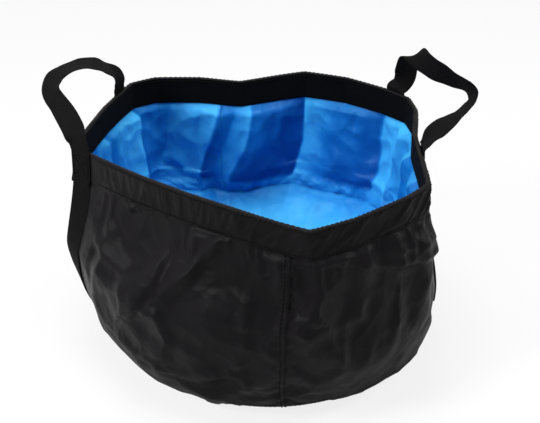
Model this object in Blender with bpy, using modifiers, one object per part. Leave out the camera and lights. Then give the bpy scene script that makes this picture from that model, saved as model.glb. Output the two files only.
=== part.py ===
"""Collapsible camp washbasin: a slack black cloth bucket with a blue waterproof lining.

Metres, +Z up, origin at the centre of the flat base panel, on its underside.
The handles are at -X (left) and +X (right), and the dipped rim faces -Y (front).
The basin is drawn as it stands empty: the rim keeps the bent outline that its hem gives it,
and each piece of cloth hangs from that outline down to the round base.
"""
import math

import bmesh
import bpy
from mathutils import Matrix, Vector

# The rim: height of its top edge, mean radius, and where its centre stands over the base
RIM_HEIGHT = 0.195
RIM_RADIUS = 0.150
RIM_SHIFT_X = -0.018
RIM_SHIFT_Y = -0.017
RIM_WAVE = 0.008

# The body below the rim
FLOOR_RADIUS = 0.122
GIRTH_REACH = 0.046

# Cloth, webbing and clearance
SHELL_CLOTH = 0.0006
LINING_CLOTH = 0.0004
HEM_CLOTH = 0.0006
STIFFENER_THICKNESS = 0.0010
TAPE_THICKNESS = 0.0003
BASE_CLOTH = 0.0008
CLEARANCE = 0.0003

# The hem round the rim
HEM_HEIGHT = 0.025
HEM_ROUNDING = 0.0010
STIFFENER_HEIGHT = 0.018

# The lining, which hangs shallower than the shell and ends in a dished floor
CREASE_HEIGHT = 0.085
DISH_DEPTH = 0.038
DISH_MIDDLE_SHARE = 0.12
LINING_SLACK = 0.014
FOLD_DEPTH = 0.008
FOLD_WIDTH = 0.030
SEAM_TAPE_WIDTH = 0.018
CREASE_TAPE_HEIGHT = 0.012
TAPE_SETBACK = 0.002

# Handle webbing, its sewn ends on the hem and its tails down the wall
WEBBING_WIDTH = 0.020
WEBBING_THICKNESS = 0.0014
ANCHOR_OVERRUN = 0.002
ANCHOR_LIP = 0.0005
TAIL_LENGTH = 0.118
LOOP_REACH = 0.045
LOOP_RISE = 0.030

# Places round the rim, in degrees counted from +X towards +Y
FRONT_SEAM_ANGLE = -78.0
REAR_SEAM_ANGLE = FRONT_SEAM_ANGLE + 180.0
LEFT_REAR_ANGLE = 139.0
LEFT_FRONT_ANGLE = 189.3
RIGHT_REAR_ANGLE = 38.0
RIGHT_FRONT_ANGLE = -6.5

# How finely curves are cut, and how finely slopes are measured on them
COLUMNS_PER_HALF = 34
LINING_ROWS = 5
DISH_ROWS = 4
STEPS_PER_SPAN = 3
TURN_STEP = 0.5
SHARE_STEP = 0.01
WELD_REACH = CLEARANCE / 10

# The rim seen from above and from the side: angle in degrees, share of the rim radius,
# share of the rim wave
RIM_OUTLINE_SHARES = (
    (-174.0, 0.995, 0.0),
    (-168.0, 0.900, 0.0),
    (-141.0, 0.745, 0.2),
    (-116.0, 0.735, 0.2),
    (-94.0, 0.820, 0.0),
    (-72.0, 0.985, -1.0),
    (-57.0, 1.000, -0.7),
    (-38.0, 1.055, -0.2),
    (-29.0, 1.085, 0.0),
    (-16.0, 0.985, 0.0),
    (5.0, 0.940, 0.0),
    (23.0, 1.060, 0.0),
    (32.0, 1.115, 0.0),
    (42.0, 1.085, 0.1),
    (56.0, 1.045, 0.3),
    (71.0, 0.990, 0.5),
    (95.0, 0.900, -0.4),
    (110.0, 0.965, 0.0),
    (124.0, 1.090, 0.0),
    (133.0, 1.110, 0.0),
    (153.0, 0.990, 0.0),
    (172.0, 0.960, 0.0),
)

# The wall from the base up: share of the rim height, share of the girth reach,
# and how far the round body has taken the rim's own outline
WALL_PROFILE_SHARES = (
    (0.000, 0.00, 0.00),
    (0.020, 0.20, 0.00),
    (0.067, 0.37, 0.02),
    (0.174, 0.58, 0.08),
    (0.330, 0.84, 0.24),
    (0.540, 1.00, 0.52),
    (0.720, 0.98, 0.82),
    (0.870, 0.92, 0.97),
    (1.000, 0.88, 1.00),
)

# Shares of the rim height at which the shell is cut into rows below the hem
WALL_ROW_SHARES = (0.000, 0.020, 0.067, 0.174, 0.250, 0.330, 0.430, 0.540, 0.630, 0.720, 0.800)

# The main folds of the cloth. Each row has its stand as a share of the fold depth, its widths
# towards larger and smaller angles as shares of the fold width, and its line from its foot up:
# share of the rim height and angle in degrees. The shell's folds stand out, the lining's in.
FOLD_FADE_SHARE = 0.10
HEM_FADE_SHARE = 0.06
STRAP_CLEAR_TURN = 9.5
SEAM_CLEAR_TURN = 5.5
SHELL_FOLD_SHARES = (
    (1.00, 0.55, 1.40, ((0.40, -133.0), (0.56, -123.0), (0.68, -113.0), (0.78, -106.0), (0.95, -92.0))),
    (0.70, 0.50, 1.00, ((0.34, -140.0), (0.52, -131.0), (0.63, -127.0), (0.88, -122.0))),
    (0.65, 0.95, 0.50, ((0.26, -79.0), (0.54, -74.0), (0.86, -67.0))),
    (0.70, 0.60, 0.60, ((0.60, -48.0), (0.78, -57.0), (0.95, -65.0))),
    (0.65, 0.90, 0.70, ((0.45, -30.0), (0.65, -34.0), (0.84, -40.0))),
    (0.60, 0.60, 0.60, ((0.20, -66.0), (0.35, -65.0), (0.55, -61.0))),
    (0.70, 1.00, 0.55, ((0.24, 14.0), (0.60, 18.0), (0.95, 14.0))),
    (0.70, 0.60, 1.20, ((0.32, 70.0), (0.60, 74.0), (0.74, 66.0), (0.95, 60.0))),
    (0.60, 0.60, 0.60, ((0.45, 92.0), (0.70, 87.0), (0.95, 84.0))),
    (0.70, 0.55, 1.00, ((0.30, 117.0), (0.65, 110.0), (0.95, 113.0))),
    (0.65, 0.80, 0.60, ((0.40, 163.0), (0.70, 158.0), (0.95, 161.0))),
    (0.60, 0.60, 0.60, ((0.38, -158.0), (0.60, -152.0), (0.80, -156.0))),
)
LINING_FOLD_SHARES = (
    (0.85, 0.50, 1.10, ((0.40, 136.0), (0.60, 134.0), (1.00, 135.0))),
    (0.85, 0.95, 0.45, ((0.40, 134.0), (0.52, 130.0), (0.68, 121.0), (1.00, 117.0))),
    (1.15, 0.50, 1.20, ((0.40, 113.0), (0.63, 108.0), (0.72, 105.0), (1.00, 101.0))),
    (0.75, 0.80, 0.45, ((0.52, 104.0), (0.64, 96.0), (1.00, 90.0))),
    (1.00, 0.50, 0.90, ((0.40, 78.0), (0.66, 71.5), (1.00, 70.0))),
    (0.90, 0.50, 0.80, ((0.40, 62.0), (0.66, 56.0), (1.00, 56.0))),
    (1.00, 0.50, 0.80, ((0.40, 44.0), (0.60, 41.0), (1.00, 40.0))),
    (0.95, 0.45, 0.70, ((0.40, 32.0), (0.60, 33.0), (0.84, 25.0))),
    (0.80, 0.80, 0.50, ((0.40, 12.0), (0.66, 8.0), (1.00, 10.0))),
    (0.85, 0.50, 0.80, ((0.40, -12.0), (0.66, -6.0), (1.00, -10.0))),
    (0.80, 0.75, 0.50, ((0.40, -24.0), (0.66, -28.0), (1.00, -30.0))),
    (0.85, 0.50, 0.85, ((0.40, -50.0), (0.66, -54.0), (1.00, -50.0))),
    (0.70, 0.70, 0.50, ((0.40, -70.0), (0.66, -66.0), (1.00, -70.0))),
    (0.80, 0.50, 0.80, ((0.40, -96.0), (0.66, -90.0), (1.00, -92.0))),
    (0.75, 0.75, 0.50, ((0.40, -116.0), (0.66, -112.0), (1.00, -118.0))),
    (0.80, 0.50, 0.90, ((0.40, -138.0), (0.66, -142.0), (1.00, -140.0))),
    (0.75, 0.70, 0.50, ((0.40, -164.0), (0.66, -158.0), (1.00, -162.0))),
    (0.80, 0.50, 0.80, ((0.40, 170.0), (0.66, 174.0), (1.00, 178.0))),
    (0.70, 0.65, 0.50, ((0.40, 152.0), (0.66, 154.0), (1.00, 156.0))),
)

# Each handle loop from its rear foot to its front foot. The centre line: share of the way
# between the feet, share of the reach outwards, share of the rise. Then the way that the
# webbing's width points there: shares along the feet, outwards and up.
LEFT_LOOP_SHARES = (
    (0.00, 0.10, 0.24, 1.00, 0.00, 0.00),
    (0.03, 0.24, 0.50, 1.00, 0.00, 0.00),
    (0.10, 0.43, 0.78, 1.00, -0.07, 0.00),
    (0.20, 0.68, 0.97, 0.99, -0.14, 0.00),
    (0.36, 0.96, 1.03, 0.96, -0.28, 0.00),
    (0.50, 1.04, 0.96, 0.87, -0.50, 0.00),
    (0.63, 0.91, 0.78, 0.62, -0.79, 0.00),
    (0.79, 0.56, 0.60, 0.50, -0.87, 0.00),
    (0.94, 0.24, 0.42, 0.80, -0.60, 0.00),
    (1.00, 0.10, 0.22, 1.00, 0.00, 0.00),
)
RIGHT_LOOP_SHARES = (
    (0.00, 0.04, 0.20, 1.00, 0.00, 0.00),
    (0.00, 0.08, 0.52, 0.80, 0.60, 0.00),
    (0.02, 0.12, 1.02, 0.70, 0.70, 0.00),
    (0.08, 0.24, 1.30, 0.55, 0.45, -0.65),
    (0.18, 0.46, 1.14, 0.15, 0.10, -0.98),
    (0.32, 0.70, 1.06, -0.20, 0.00, -0.96),
    (0.46, 0.88, 1.03, -0.50, 0.00, -0.85),
    (0.60, 1.02, 0.96, -0.80, 0.00, -0.60),
    (0.70, 1.00, 0.80, -0.95, 0.00, -0.20),
    (0.80, 0.80, 0.64, -1.00, 0.00, 0.10),
    (0.90, 0.46, 0.46, -1.00, 0.00, 0.15),
    (0.98, 0.16, 0.26, -1.00, 0.00, 0.00),
    (1.00, 0.06, 0.14, -1.00, 0.00, 0.00),
)


def smooth_read(table, place, column):
    """Read a column of a table at a place on its first column, along a smooth curve."""
    rows = list(table)
    last = len(rows) - 1
    span = 0
    while span < last - 1 and place > rows[span + 1][0]:
        span += 1

    def slope(index):
        before = rows[max(index - 1, 0)]
        after = rows[min(index + 1, last)]
        return (after[column] - before[column]) / (after[0] - before[0])

    low, high = rows[span], rows[span + 1]
    width = high[0] - low[0]
    along = (place - low[0]) / width
    square, cube = along ** 2, along ** 3
    return (
        (2 * cube - 3 * square + 1) * low[column]
        + (cube - 2 * square + along) * width * slope(span)
        + (3 * square - 2 * cube) * high[column]
        + (cube - square) * width * slope(span + 1)
    )


def rim_read(angle, column):
    """Read the rim outline at an angle in degrees, all the way round."""
    turns = (-360.0, 0.0, 360.0)
    wrapped = [(row[0] + turn, *row[1:]) for turn in turns for row in RIM_OUTLINE_SHARES]
    place = (angle + 180.0) % 360.0 - 180.0
    return smooth_read(wrapped, place, column)


def rim_top(angle):
    """Height of the rim's top edge at an angle."""
    return RIM_HEIGHT + RIM_WAVE * rim_read(angle, 2)


def height_share(angle, below_rim):
    """Share of the wall's height at a distance below the rim's top edge."""
    return 1.0 - below_rim / rim_top(angle)


def skin(angle, share):
    """Point on the outermost surface of the basin, at an angle and a share of its height."""
    girth = FLOOR_RADIUS + GIRTH_REACH * smooth_read(WALL_PROFILE_SHARES, share, 1)
    take = smooth_read(WALL_PROFILE_SHARES, share, 2)
    radius = girth + (RIM_RADIUS * rim_read(angle, 1) - girth) * take
    drift = min(share / WALL_PROFILE_SHARES[5][0], 1.0)
    turn = math.radians(angle)
    return Vector((
        RIM_SHIFT_X * drift + radius * math.cos(turn),
        RIM_SHIFT_Y * drift + radius * math.sin(turn),
        rim_top(angle) * share,
    ))


def turn_between(angle, other):
    """Degrees from one angle to another, the short way round."""
    return (angle - other + 180.0) % 360.0 - 180.0


def fold_stand(folds, angle, share, girth):
    """How far a table of folds lifts the cloth off its plain form at an angle and a height."""
    stand = 0.0
    for depth, wider, narrower, line in folds:
        foot, head = line[0][0], line[-1][0]
        if not foot < share < head:
            continue
        aside = math.radians(turn_between(angle, smooth_read(line, share, 1))) * girth
        width = FOLD_WIDTH * (wider if aside > 0 else narrower)
        fade = min((share - foot) / FOLD_FADE_SHARE, (head - share) / FOLD_FADE_SHARE, 1.0)
        stand += FOLD_DEPTH * depth * fade * max(1.0 - abs(aside) / width, 0.0)
    below_hem = (height_share(angle, HEM_HEIGHT) - share) / HEM_FADE_SHARE
    return min(stand, FOLD_DEPTH * folds[0][0]) * min(max(below_hem, 0.0), 1.0)


def clear_of(angle, places, turn):
    """0 within a turn of any of the places, 1 from twice as far on."""
    nearest = min(abs(turn_between(angle, place)) for place in places)
    return min(max(nearest / turn - 1.0, 0.0), 1.0)


def shell_stand(angle, share):
    """The stand of the shell's folds. It lies plain under the strap tails."""
    feet = (LEFT_REAR_ANGLE, LEFT_FRONT_ANGLE, RIGHT_REAR_ANGLE, RIGHT_FRONT_ANGLE)
    stand = fold_stand(SHELL_FOLD_SHARES, angle, share, FLOOR_RADIUS + GIRTH_REACH)
    return stand * clear_of(angle, feet, STRAP_CLEAR_TURN)


def lining_stand(angle, share):
    """The stand of the lining's folds. It lies plain under the seam tapes."""
    stand = fold_stand(LINING_FOLD_SHARES, angle, share, RIM_RADIUS)
    return stand * clear_of(angle, (FRONT_SEAM_ANGLE, REAR_SEAM_ANGLE), SEAM_CLEAR_TURN)


def layer(angle, share, depth):
    """Point at a depth under the outermost surface, straight in along its normal."""
    across = skin(angle + TURN_STEP, share) - skin(angle - TURN_STEP, share)
    low, high = max(share - SHARE_STEP, 0.0), min(share + SHARE_STEP, 1.0)
    up = skin(angle, high) - skin(angle, low)
    outward = across.cross(up).normalized()
    return skin(angle, share) - outward * depth


def lining_layer(angle, share, depth):
    """Point on the lining, which draws away from the shell as it nears its own floor."""
    hem_share = height_share(angle, HEM_HEIGHT)
    crease_share = CREASE_HEIGHT / RIM_HEIGHT
    fall = min(max((hem_share - share) / (hem_share - crease_share), 0.0), 1.0)
    slack = LINING_SLACK * (3 * fall ** 2 - 2 * fall ** 3)
    return layer(angle, share, depth + slack + lining_stand(angle, share))


def arc_turn(angle, share, length):
    """Degrees round the rim that a length along it takes, at an angle and a height."""
    travel = (skin(angle + TURN_STEP, share) - skin(angle - TURN_STEP, share)).length
    return length / travel * 2 * TURN_STEP


def make_material(name, colour, roughness, metallic=0.0):
    material = bpy.data.materials.new(name)
    material.use_nodes = True
    shader = material.node_tree.nodes["Principled BSDF"]
    shader.inputs["Base Color"].default_value = (*colour, 1.0)
    shader.inputs["Roughness"].default_value = roughness
    shader.inputs["Metallic"].default_value = metallic
    return material


def add_object(name, mesh_work, material, parent=None):
    """Turn a finished bmesh into a named object, with its origin at its parent's."""
    mesh = bpy.data.meshes.new(name)
    if parent is not None:
        bmesh.ops.transform(mesh_work, matrix=Matrix.Translation(-parent.location), verts=mesh_work.verts)
    mesh_work.to_mesh(mesh)
    mesh_work.free()
    mesh.shade_smooth()
    mesh.set_sharp_from_angle(angle=math.radians(40))
    mesh.materials.append(material)
    piece = bpy.data.objects.new(name, mesh)
    piece.parent = parent
    parts.objects.link(piece)
    return piece


def mapped_sheet(columns, rows, place):
    """A grid of squares whose corners go where a function of (across, up) puts them."""
    work = bmesh.new()
    bmesh.ops.create_grid(work, x_segments=columns, y_segments=rows, size=1.0)
    for vertex in work.verts:
        vertex.co = place((vertex.co.x + 1) / 2, (vertex.co.y + 1) / 2)
    return work


def thicken(piece, thickness):
    """Give an open sheet its cloth's thickness, on its inner side."""
    solid = piece.modifiers.new("cloth", "SOLIDIFY")
    solid.thickness = thickness
    solid.offset = -1.0
    return piece


def close_ring(work):
    """Join the first and last columns of a sheet that runs all the way round."""
    bmesh.ops.remove_doubles(work, verts=work.verts, dist=WELD_REACH)


def half_turn(across, start):
    """Angle at a share of the way across a half wall, clear of the seam at each side."""
    margin = math.degrees(CLEARANCE / 2 / FLOOR_RADIUS)
    return start + margin + across * (180.0 - 2 * margin)


def hem_rows(angle):
    """Shares of the height of the hem's foot, its middle, and the cloth's edge inside it."""
    distances = (HEM_HEIGHT, HEM_HEIGHT / 2, HEM_ROUNDING + 2 * CLEARANCE)
    return [height_share(angle, below) for below in distances]


def wall_rows(angle):
    """Shares of the height at which the shell is cut into rows, from its foot up."""
    return [*WALL_ROW_SHARES, *hem_rows(angle)]


def lining_rows(angle):
    """The same for the lining, whose second row is the top of its crease tape."""
    foot = CREASE_HEIGHT / RIM_HEIGHT
    tape_top = (CREASE_HEIGHT + CREASE_TAPE_HEIGHT) / RIM_HEIGHT
    rise = hem_rows(angle)[0] - tape_top
    middle_rows = [tape_top + rise * row / LINING_ROWS for row in range(LINING_ROWS)]
    return [foot, *middle_rows, *hem_rows(angle)]


def base_panel():
    """The flat round bottom of the shell, just inside the foot of its walls."""
    radius = FLOOR_RADIUS - SHELL_CLOTH - CLEARANCE
    work = bmesh.new()
    bmesh.ops.create_cone(
        work, cap_ends=True, segments=2 * COLUMNS_PER_HALF, radius1=radius, radius2=radius, depth=BASE_CLOTH
    )
    bmesh.ops.translate(work, vec=(0.0, 0.0, BASE_CLOTH / 2), verts=work.verts)
    add_object("outer_base_panel", work, black_cloth)


def shell_wall(name, start):
    """Half of the shell, from the base seam up into the hem."""
    depth = HEM_CLOTH + CLEARANCE

    def place(across, up):
        angle = half_turn(across, start)
        rows = wall_rows(angle)
        share = rows[round(up * (len(rows) - 1))]
        point = layer(angle, share, depth - shell_stand(angle, share))
        point.z = max(point.z - layer(angle, 0.0, depth).z * (1.0 - up), 0.0)
        return point

    work = mapped_sheet(COLUMNS_PER_HALF, len(wall_rows(start)) - 1, place)
    return thicken(add_object(name, work, black_cloth), SHELL_CLOTH)


def lining_wall(name, start):
    """Half of the lining, from the crease at its floor up into the hem."""
    depth = HEM_CLOTH + SHELL_CLOTH + STIFFENER_THICKNESS + 3 * CLEARANCE

    def place(across, up):
        angle = half_turn(across, start)
        rows = lining_rows(angle)
        return lining_layer(angle, rows[round(up * (len(rows) - 1))], depth)

    work = mapped_sheet(COLUMNS_PER_HALF, len(lining_rows(start)) - 1, place)
    return thicken(add_object(name, work, blue_cloth), LINING_CLOTH)


def lining_floor():
    """The lining's dished floor, a round panel with a flat middle."""
    depth = HEM_CLOTH + SHELL_CLOTH + STIFFENER_THICKNESS + LINING_CLOTH + 4 * CLEARANCE

    def place(across, up):
        angle = FRONT_SEAM_ANGLE + 360.0 * across
        edge = lining_layer(angle, CREASE_HEIGHT / RIM_HEIGHT, depth)
        inward = (1.0 - up) * (1.0 - DISH_MIDDLE_SHARE)
        centre = Vector((RIM_SHIFT_X, RIM_SHIFT_Y, edge.z))
        point = edge.lerp(centre, inward)
        point.z -= DISH_DEPTH * math.sin(math.pi / 2 * inward)
        return point

    work = mapped_sheet(2 * COLUMNS_PER_HALF, DISH_ROWS, place)
    close_ring(work)
    half_way_down = CREASE_HEIGHT - DISH_DEPTH / 2
    open_edges = [edge for edge in work.edges if edge.is_boundary]
    middle = [edge for edge in open_edges if edge.verts[0].co.z < half_way_down]
    bmesh.ops.contextual_create(work, geom=middle)
    bmesh.ops.recalc_face_normals(work, faces=work.faces)
    if sum(face.normal.z for face in work.faces) < 0:
        bmesh.ops.reverse_faces(work, faces=work.faces)
    return thicken(add_object("lining_base_panel", work, blue_cloth), LINING_CLOTH)


def ring_band(name, profile, thickness, material):
    """A band round the rim, drawn by rows of depth and distance below the rim's top edge."""

    def place(across, up):
        angle = FRONT_SEAM_ANGLE + 360.0 * across
        depth, below = profile[round(up * (len(profile) - 1))]
        return layer(angle, height_share(angle, below), depth)

    work = mapped_sheet(2 * COLUMNS_PER_HALF, len(profile) - 1, place)
    close_ring(work)
    return thicken(add_object(name, work, material), thickness)


def hem_bands():
    """The hem: an outer cuff that turns over the top, a stiffener and an inner facing."""
    stiffener_depth = HEM_CLOTH + SHELL_CLOTH + 2 * CLEARANCE
    facing_depth = stiffener_depth + STIFFENER_THICKNESS + LINING_CLOTH + 2 * CLEARANCE
    inner_side = facing_depth + HEM_CLOTH
    lip = HEM_ROUNDING + HEM_CLOTH
    ring_band("rim_outer_cuff", (
        (0.0, HEM_HEIGHT),
        (0.0, HEM_HEIGHT / 2),
        (0.0, HEM_ROUNDING),
        (HEM_ROUNDING, 0.0),
        (inner_side - HEM_ROUNDING, 0.0),
        (inner_side, HEM_ROUNDING),
    ), HEM_CLOTH, black_cloth)
    ring_band("rim_inner_facing", (
        (facing_depth, HEM_HEIGHT),
        (facing_depth, HEM_HEIGHT / 2),
        (facing_depth, lip + CLEARANCE),
    ), HEM_CLOTH, black_cloth)
    ring_band("rim_stiffener", (
        (stiffener_depth, lip + CLEARANCE + STIFFENER_HEIGHT),
        (stiffener_depth, HEM_HEIGHT / 2),
        (stiffener_depth, lip + CLEARANCE),
    ), STIFFENER_THICKNESS, white_plastic)


def column_angle(index):
    """Angle of one of the columns that every ring and wall is cut into."""
    return FRONT_SEAM_ANGLE + index * 180.0 / COLUMNS_PER_HALF


def column_at(angle):
    """The same the other way round: how many columns lie before an angle."""
    return (angle - FRONT_SEAM_ANGLE) * COLUMNS_PER_HALF / 180.0


def on_facets(surface, angle, share, rows):
    """Point on the flat facet of a surface between two of its columns and two of its rows."""
    column = column_at(angle)
    before = math.floor(column)
    low = max((row for row in rows if row <= share), default=share)
    high = min((row for row in rows if row > share), default=share)
    up = (share - low) / (high - low) if high > low else 0.0

    def upright(turn):
        return surface(turn, low).lerp(surface(turn, high), up)

    return upright(column_angle(before)).lerp(upright(column_angle(before + 1)), column - before)


def wall_patch(name, centre, width, heights, rows, surface, thickness, material):
    """A strip that lies on a wall cut into rows, through the given shares of its height."""
    spans = [arc_turn(centre, min(share, 1.0), width) / 2 for share in heights]
    first = math.ceil(column_at(centre - max(spans)))
    final = math.floor(column_at(centre + max(spans)))
    inner = [column_angle(index) - centre for index in range(first, final + 1)]

    def place(across, up):
        row = round(up * (len(heights) - 1))
        stops = [-spans[row], *inner, spans[row]]
        turn = min(max(stops[round(across * (len(inner) + 1))], -spans[row]), spans[row])
        return on_facets(surface, centre + turn, heights[row], rows)

    work = mapped_sheet(len(inner) + 1, len(heights) - 1, place)
    bmesh.ops.remove_doubles(work, verts=work.verts, dist=WELD_REACH)
    return thicken(add_object(name, work, material), thickness)


def seam_tapes():
    """Waterproof tapes on the hidden side of the lining's seams."""
    lining_depth = HEM_CLOTH + SHELL_CLOTH + STIFFENER_THICKNESS + 3 * CLEARANCE
    depth = lining_depth - 2 * CLEARANCE - TAPE_THICKNESS

    def surface(angle, share):
        return lining_layer(angle, share, depth)

    for name, angle in (
        ("lining_seam_tape_front", FRONT_SEAM_ANGLE),
        ("lining_seam_tape_rear", REAR_SEAM_ANGLE),
    ):
        rows = lining_rows(angle)
        foot = rows[1] + TAPE_SETBACK / RIM_HEIGHT
        head = height_share(angle, HEM_HEIGHT + TAPE_SETBACK)
        heights = [foot, *(row for row in rows if foot < row < head), head]
        wall_patch(name, angle, SEAM_TAPE_WIDTH, heights, rows, surface, TAPE_THICKNESS, clear_tape)

    def place(across, up):
        angle = FRONT_SEAM_ANGLE + 360.0 * across
        return surface(angle, lining_rows(angle)[round(up)])

    work = mapped_sheet(2 * COLUMNS_PER_HALF, 1, place)
    close_ring(work)
    thicken(add_object("lining_base_seam_tape", work, clear_tape), TAPE_THICKNESS)


def strap_ends(name, angle):
    """One foot of a handle: the end sewn over the hem, and the tail below it on the wall."""
    anchor_depth = -CLEARANCE - WEBBING_THICKNESS
    tail_depth = HEM_CLOTH - WEBBING_THICKNESS

    def on_hem(turn, share):
        lip = Vector((0.0, 0.0, max(share - 1.0, 0.0) * rim_top(turn)))
        return layer(turn, min(share, 1.0), anchor_depth) + lip

    def on_wall(turn, share):
        return layer(turn, share, tail_depth - shell_stand(turn, share))

    anchor_foot = HEM_HEIGHT + ANCHOR_OVERRUN
    distances = (anchor_foot, HEM_HEIGHT / 2, -ANCHOR_LIP)
    heights = [height_share(angle, below) for below in distances]
    wall_patch(
        name + "_anchor", angle, WEBBING_WIDTH, heights, heights, on_hem, WEBBING_THICKNESS, webbing
    )
    rows = wall_rows(angle)
    foot = height_share(angle, anchor_foot + TAIL_LENGTH)
    head = height_share(angle, anchor_foot + CLEARANCE)
    heights = [foot, *(row for row in rows if foot < row < head), head]
    wall_patch(
        name + "_tail", angle, WEBBING_WIDTH, heights, rows, on_wall, WEBBING_THICKNESS, webbing
    )


def foot_point(angle):
    """Where a handle's webbing turns at the rim: just above the middle of its sewn end."""
    turning_room = WEBBING_THICKNESS / 2 + 2 * CLEARANCE

    def surface(turn, share):
        return layer(turn, share, -CLEARANCE - WEBBING_THICKNESS / 2)

    return on_facets(surface, angle, 1.0, ()) + Vector((0.0, 0.0, ANCHOR_LIP + turning_room))


def smooth_line(points, steps):
    """Points along a smooth curve through the given ones."""
    ends = [2 * points[0] - points[1]] + points + [2 * points[-1] - points[-2]]
    line = []
    for index in range(1, len(ends) - 2):
        before, start, stop, after = ends[index - 1:index + 3]
        for step in range(steps):
            along = step / steps
            line.append((
                2 * start
                + (stop - before) * along
                + (2 * before - 5 * start + 4 * stop - after) * along ** 2
                + (3 * start - before - 3 * stop + after) * along ** 3
            ) / 2)
    return line + [points[-1]]


def handle_loop(name, rear_angle, front_angle, shares, outward):
    """A loop of webbing between two feet on the rim, on a hinge through both feet."""
    rear, front = foot_point(rear_angle), foot_point(front_angle)
    chord = front - rear
    out = Vector((chord.y, -chord.x, 0.0)).normalized() * outward
    feet_line = chord.normalized()
    up = Vector((0.0, 0.0, 1.0))
    points = [rear]
    widths = []
    for along, reach, rise, width_along, width_out, width_up in shares:
        points.append(rear + chord * along + out * (LOOP_REACH * reach) + up * (LOOP_RISE * rise))
        widths.append(feet_line * width_along + out * width_out + up * width_up)
    points.append(front)
    centre_line = smooth_line(points, STEPS_PER_SPAN)
    width_line = smooth_line([widths[0], *widths, widths[-1]], STEPS_PER_SPAN)

    def section(index):
        """Matrix that stands a flat webbing section at a point of the centre line."""
        ahead = centre_line[min(index + 1, last)] - centre_line[max(index - 1, 0)]
        tangent = ahead.normalized()
        width = width_line[index]
        width = (width - tangent * width.dot(tangent)).normalized()
        stand = Matrix((width, tangent.cross(width), tangent)).transposed().to_4x4()
        return Matrix.Translation(centre_line[index]) @ stand

    last = len(centre_line) - 1
    work = bmesh.new()
    bmesh.ops.create_grid(work, x_segments=1, y_segments=1, size=0.5)
    bmesh.ops.scale(work, vec=(WEBBING_WIDTH, WEBBING_THICKNESS, 1.0), verts=work.verts)
    bmesh.ops.transform(work, matrix=section(0), verts=work.verts)
    end_face = list(work.faces)
    for index in range(last):
        grown = bmesh.ops.extrude_face_region(work, geom=end_face)["geom"]
        if index:
            bmesh.ops.delete(work, geom=end_face, context="FACES_ONLY")
        end_face = [item for item in grown if isinstance(item, bmesh.types.BMFace)]
        moved = [item for item in grown if isinstance(item, bmesh.types.BMVert)]
        bmesh.ops.transform(work, matrix=section(index + 1) @ section(index).inverted(), verts=moved)
    bmesh.ops.recalc_face_normals(work, faces=work.faces)

    hinge = bpy.data.objects.new(name + "_hinge", None)
    hinge.location = (rear + front) / 2
    parts.objects.link(hinge)
    add_object(name, work, webbing, parent=hinge)
    print(name, "hinge at", tuple(round(value, 5) for value in hinge.location),
          "along", tuple(round(value, 5) for value in feet_line * outward))


for old in list(bpy.data.objects):
    bpy.data.objects.remove(old)
parts = bpy.data.collections.new("camp_washbasin")
bpy.context.scene.collection.children.link(parts)

black_cloth = make_material("black_cloth", (0.012, 0.012, 0.013), 0.55)
blue_cloth = make_material("blue_cloth", (0.010, 0.190, 0.720), 0.38)
webbing = make_material("webbing", (0.010, 0.010, 0.011), 0.80)
white_plastic = make_material("white_plastic", (0.700, 0.700, 0.680), 0.45)
clear_tape = make_material("clear_tape", (0.450, 0.520, 0.600), 0.30)

base_panel()
shell_wall("outer_wall_right", FRONT_SEAM_ANGLE)
shell_wall("outer_wall_left", REAR_SEAM_ANGLE)
lining_wall("lining_wall_right", FRONT_SEAM_ANGLE)
lining_wall("lining_wall_left", REAR_SEAM_ANGLE)
lining_floor()
seam_tapes()
hem_bands()
strap_ends("left_rear_strap", LEFT_REAR_ANGLE)
strap_ends("left_front_strap", LEFT_FRONT_ANGLE)
strap_ends("right_rear_strap", RIGHT_REAR_ANGLE)
strap_ends("right_front_strap", RIGHT_FRONT_ANGLE)
handle_loop("left_handle", LEFT_REAR_ANGLE, LEFT_FRONT_ANGLE, LEFT_LOOP_SHARES, 1.0)
handle_loop("right_handle", RIGHT_REAR_ANGLE, RIGHT_FRONT_ANGLE, RIGHT_LOOP_SHARES, -1.0)
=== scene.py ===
"""Looks of the collapsible camp washbasin: black nylon shell, blue lining, hem and webbing handles.

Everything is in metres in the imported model's own frame: +Z up, -Y front, handles at -X and +X.
The rim's outline and the wall's profile repeat the values that the solids were drawn from.
"""
import math

import bmesh
import bpy
import numpy as np
from mathutils import Matrix, Vector, noise


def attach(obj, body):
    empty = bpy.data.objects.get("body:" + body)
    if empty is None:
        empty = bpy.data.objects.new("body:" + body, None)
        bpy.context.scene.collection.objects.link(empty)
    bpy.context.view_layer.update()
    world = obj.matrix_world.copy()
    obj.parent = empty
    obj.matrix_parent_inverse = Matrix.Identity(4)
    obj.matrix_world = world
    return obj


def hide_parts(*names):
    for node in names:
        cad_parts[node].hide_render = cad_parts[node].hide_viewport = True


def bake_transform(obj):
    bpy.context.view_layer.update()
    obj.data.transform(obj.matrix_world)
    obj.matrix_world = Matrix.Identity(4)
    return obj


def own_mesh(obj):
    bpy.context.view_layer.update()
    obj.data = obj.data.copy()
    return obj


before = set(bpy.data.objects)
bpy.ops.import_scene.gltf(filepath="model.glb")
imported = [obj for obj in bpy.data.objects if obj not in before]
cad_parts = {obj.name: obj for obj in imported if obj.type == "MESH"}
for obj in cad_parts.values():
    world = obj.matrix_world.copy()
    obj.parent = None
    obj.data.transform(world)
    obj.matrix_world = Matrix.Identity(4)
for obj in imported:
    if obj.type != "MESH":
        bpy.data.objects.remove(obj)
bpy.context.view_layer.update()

# The rim and the body, as in the solids
RIM_HEIGHT = 0.195
RIM_RADIUS = 0.150
RIM_SHIFT_X = -0.018
RIM_SHIFT_Y = -0.017
RIM_WAVE = 0.008
FLOOR_RADIUS = 0.122
GIRTH_REACH = 0.046
HEM_HEIGHT = 0.025
HEM_CLOTH = 0.0006
SHELL_CLOTH = 0.0006
LINING_CLOTH = 0.0004
CLEARANCE = 0.0003
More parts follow.
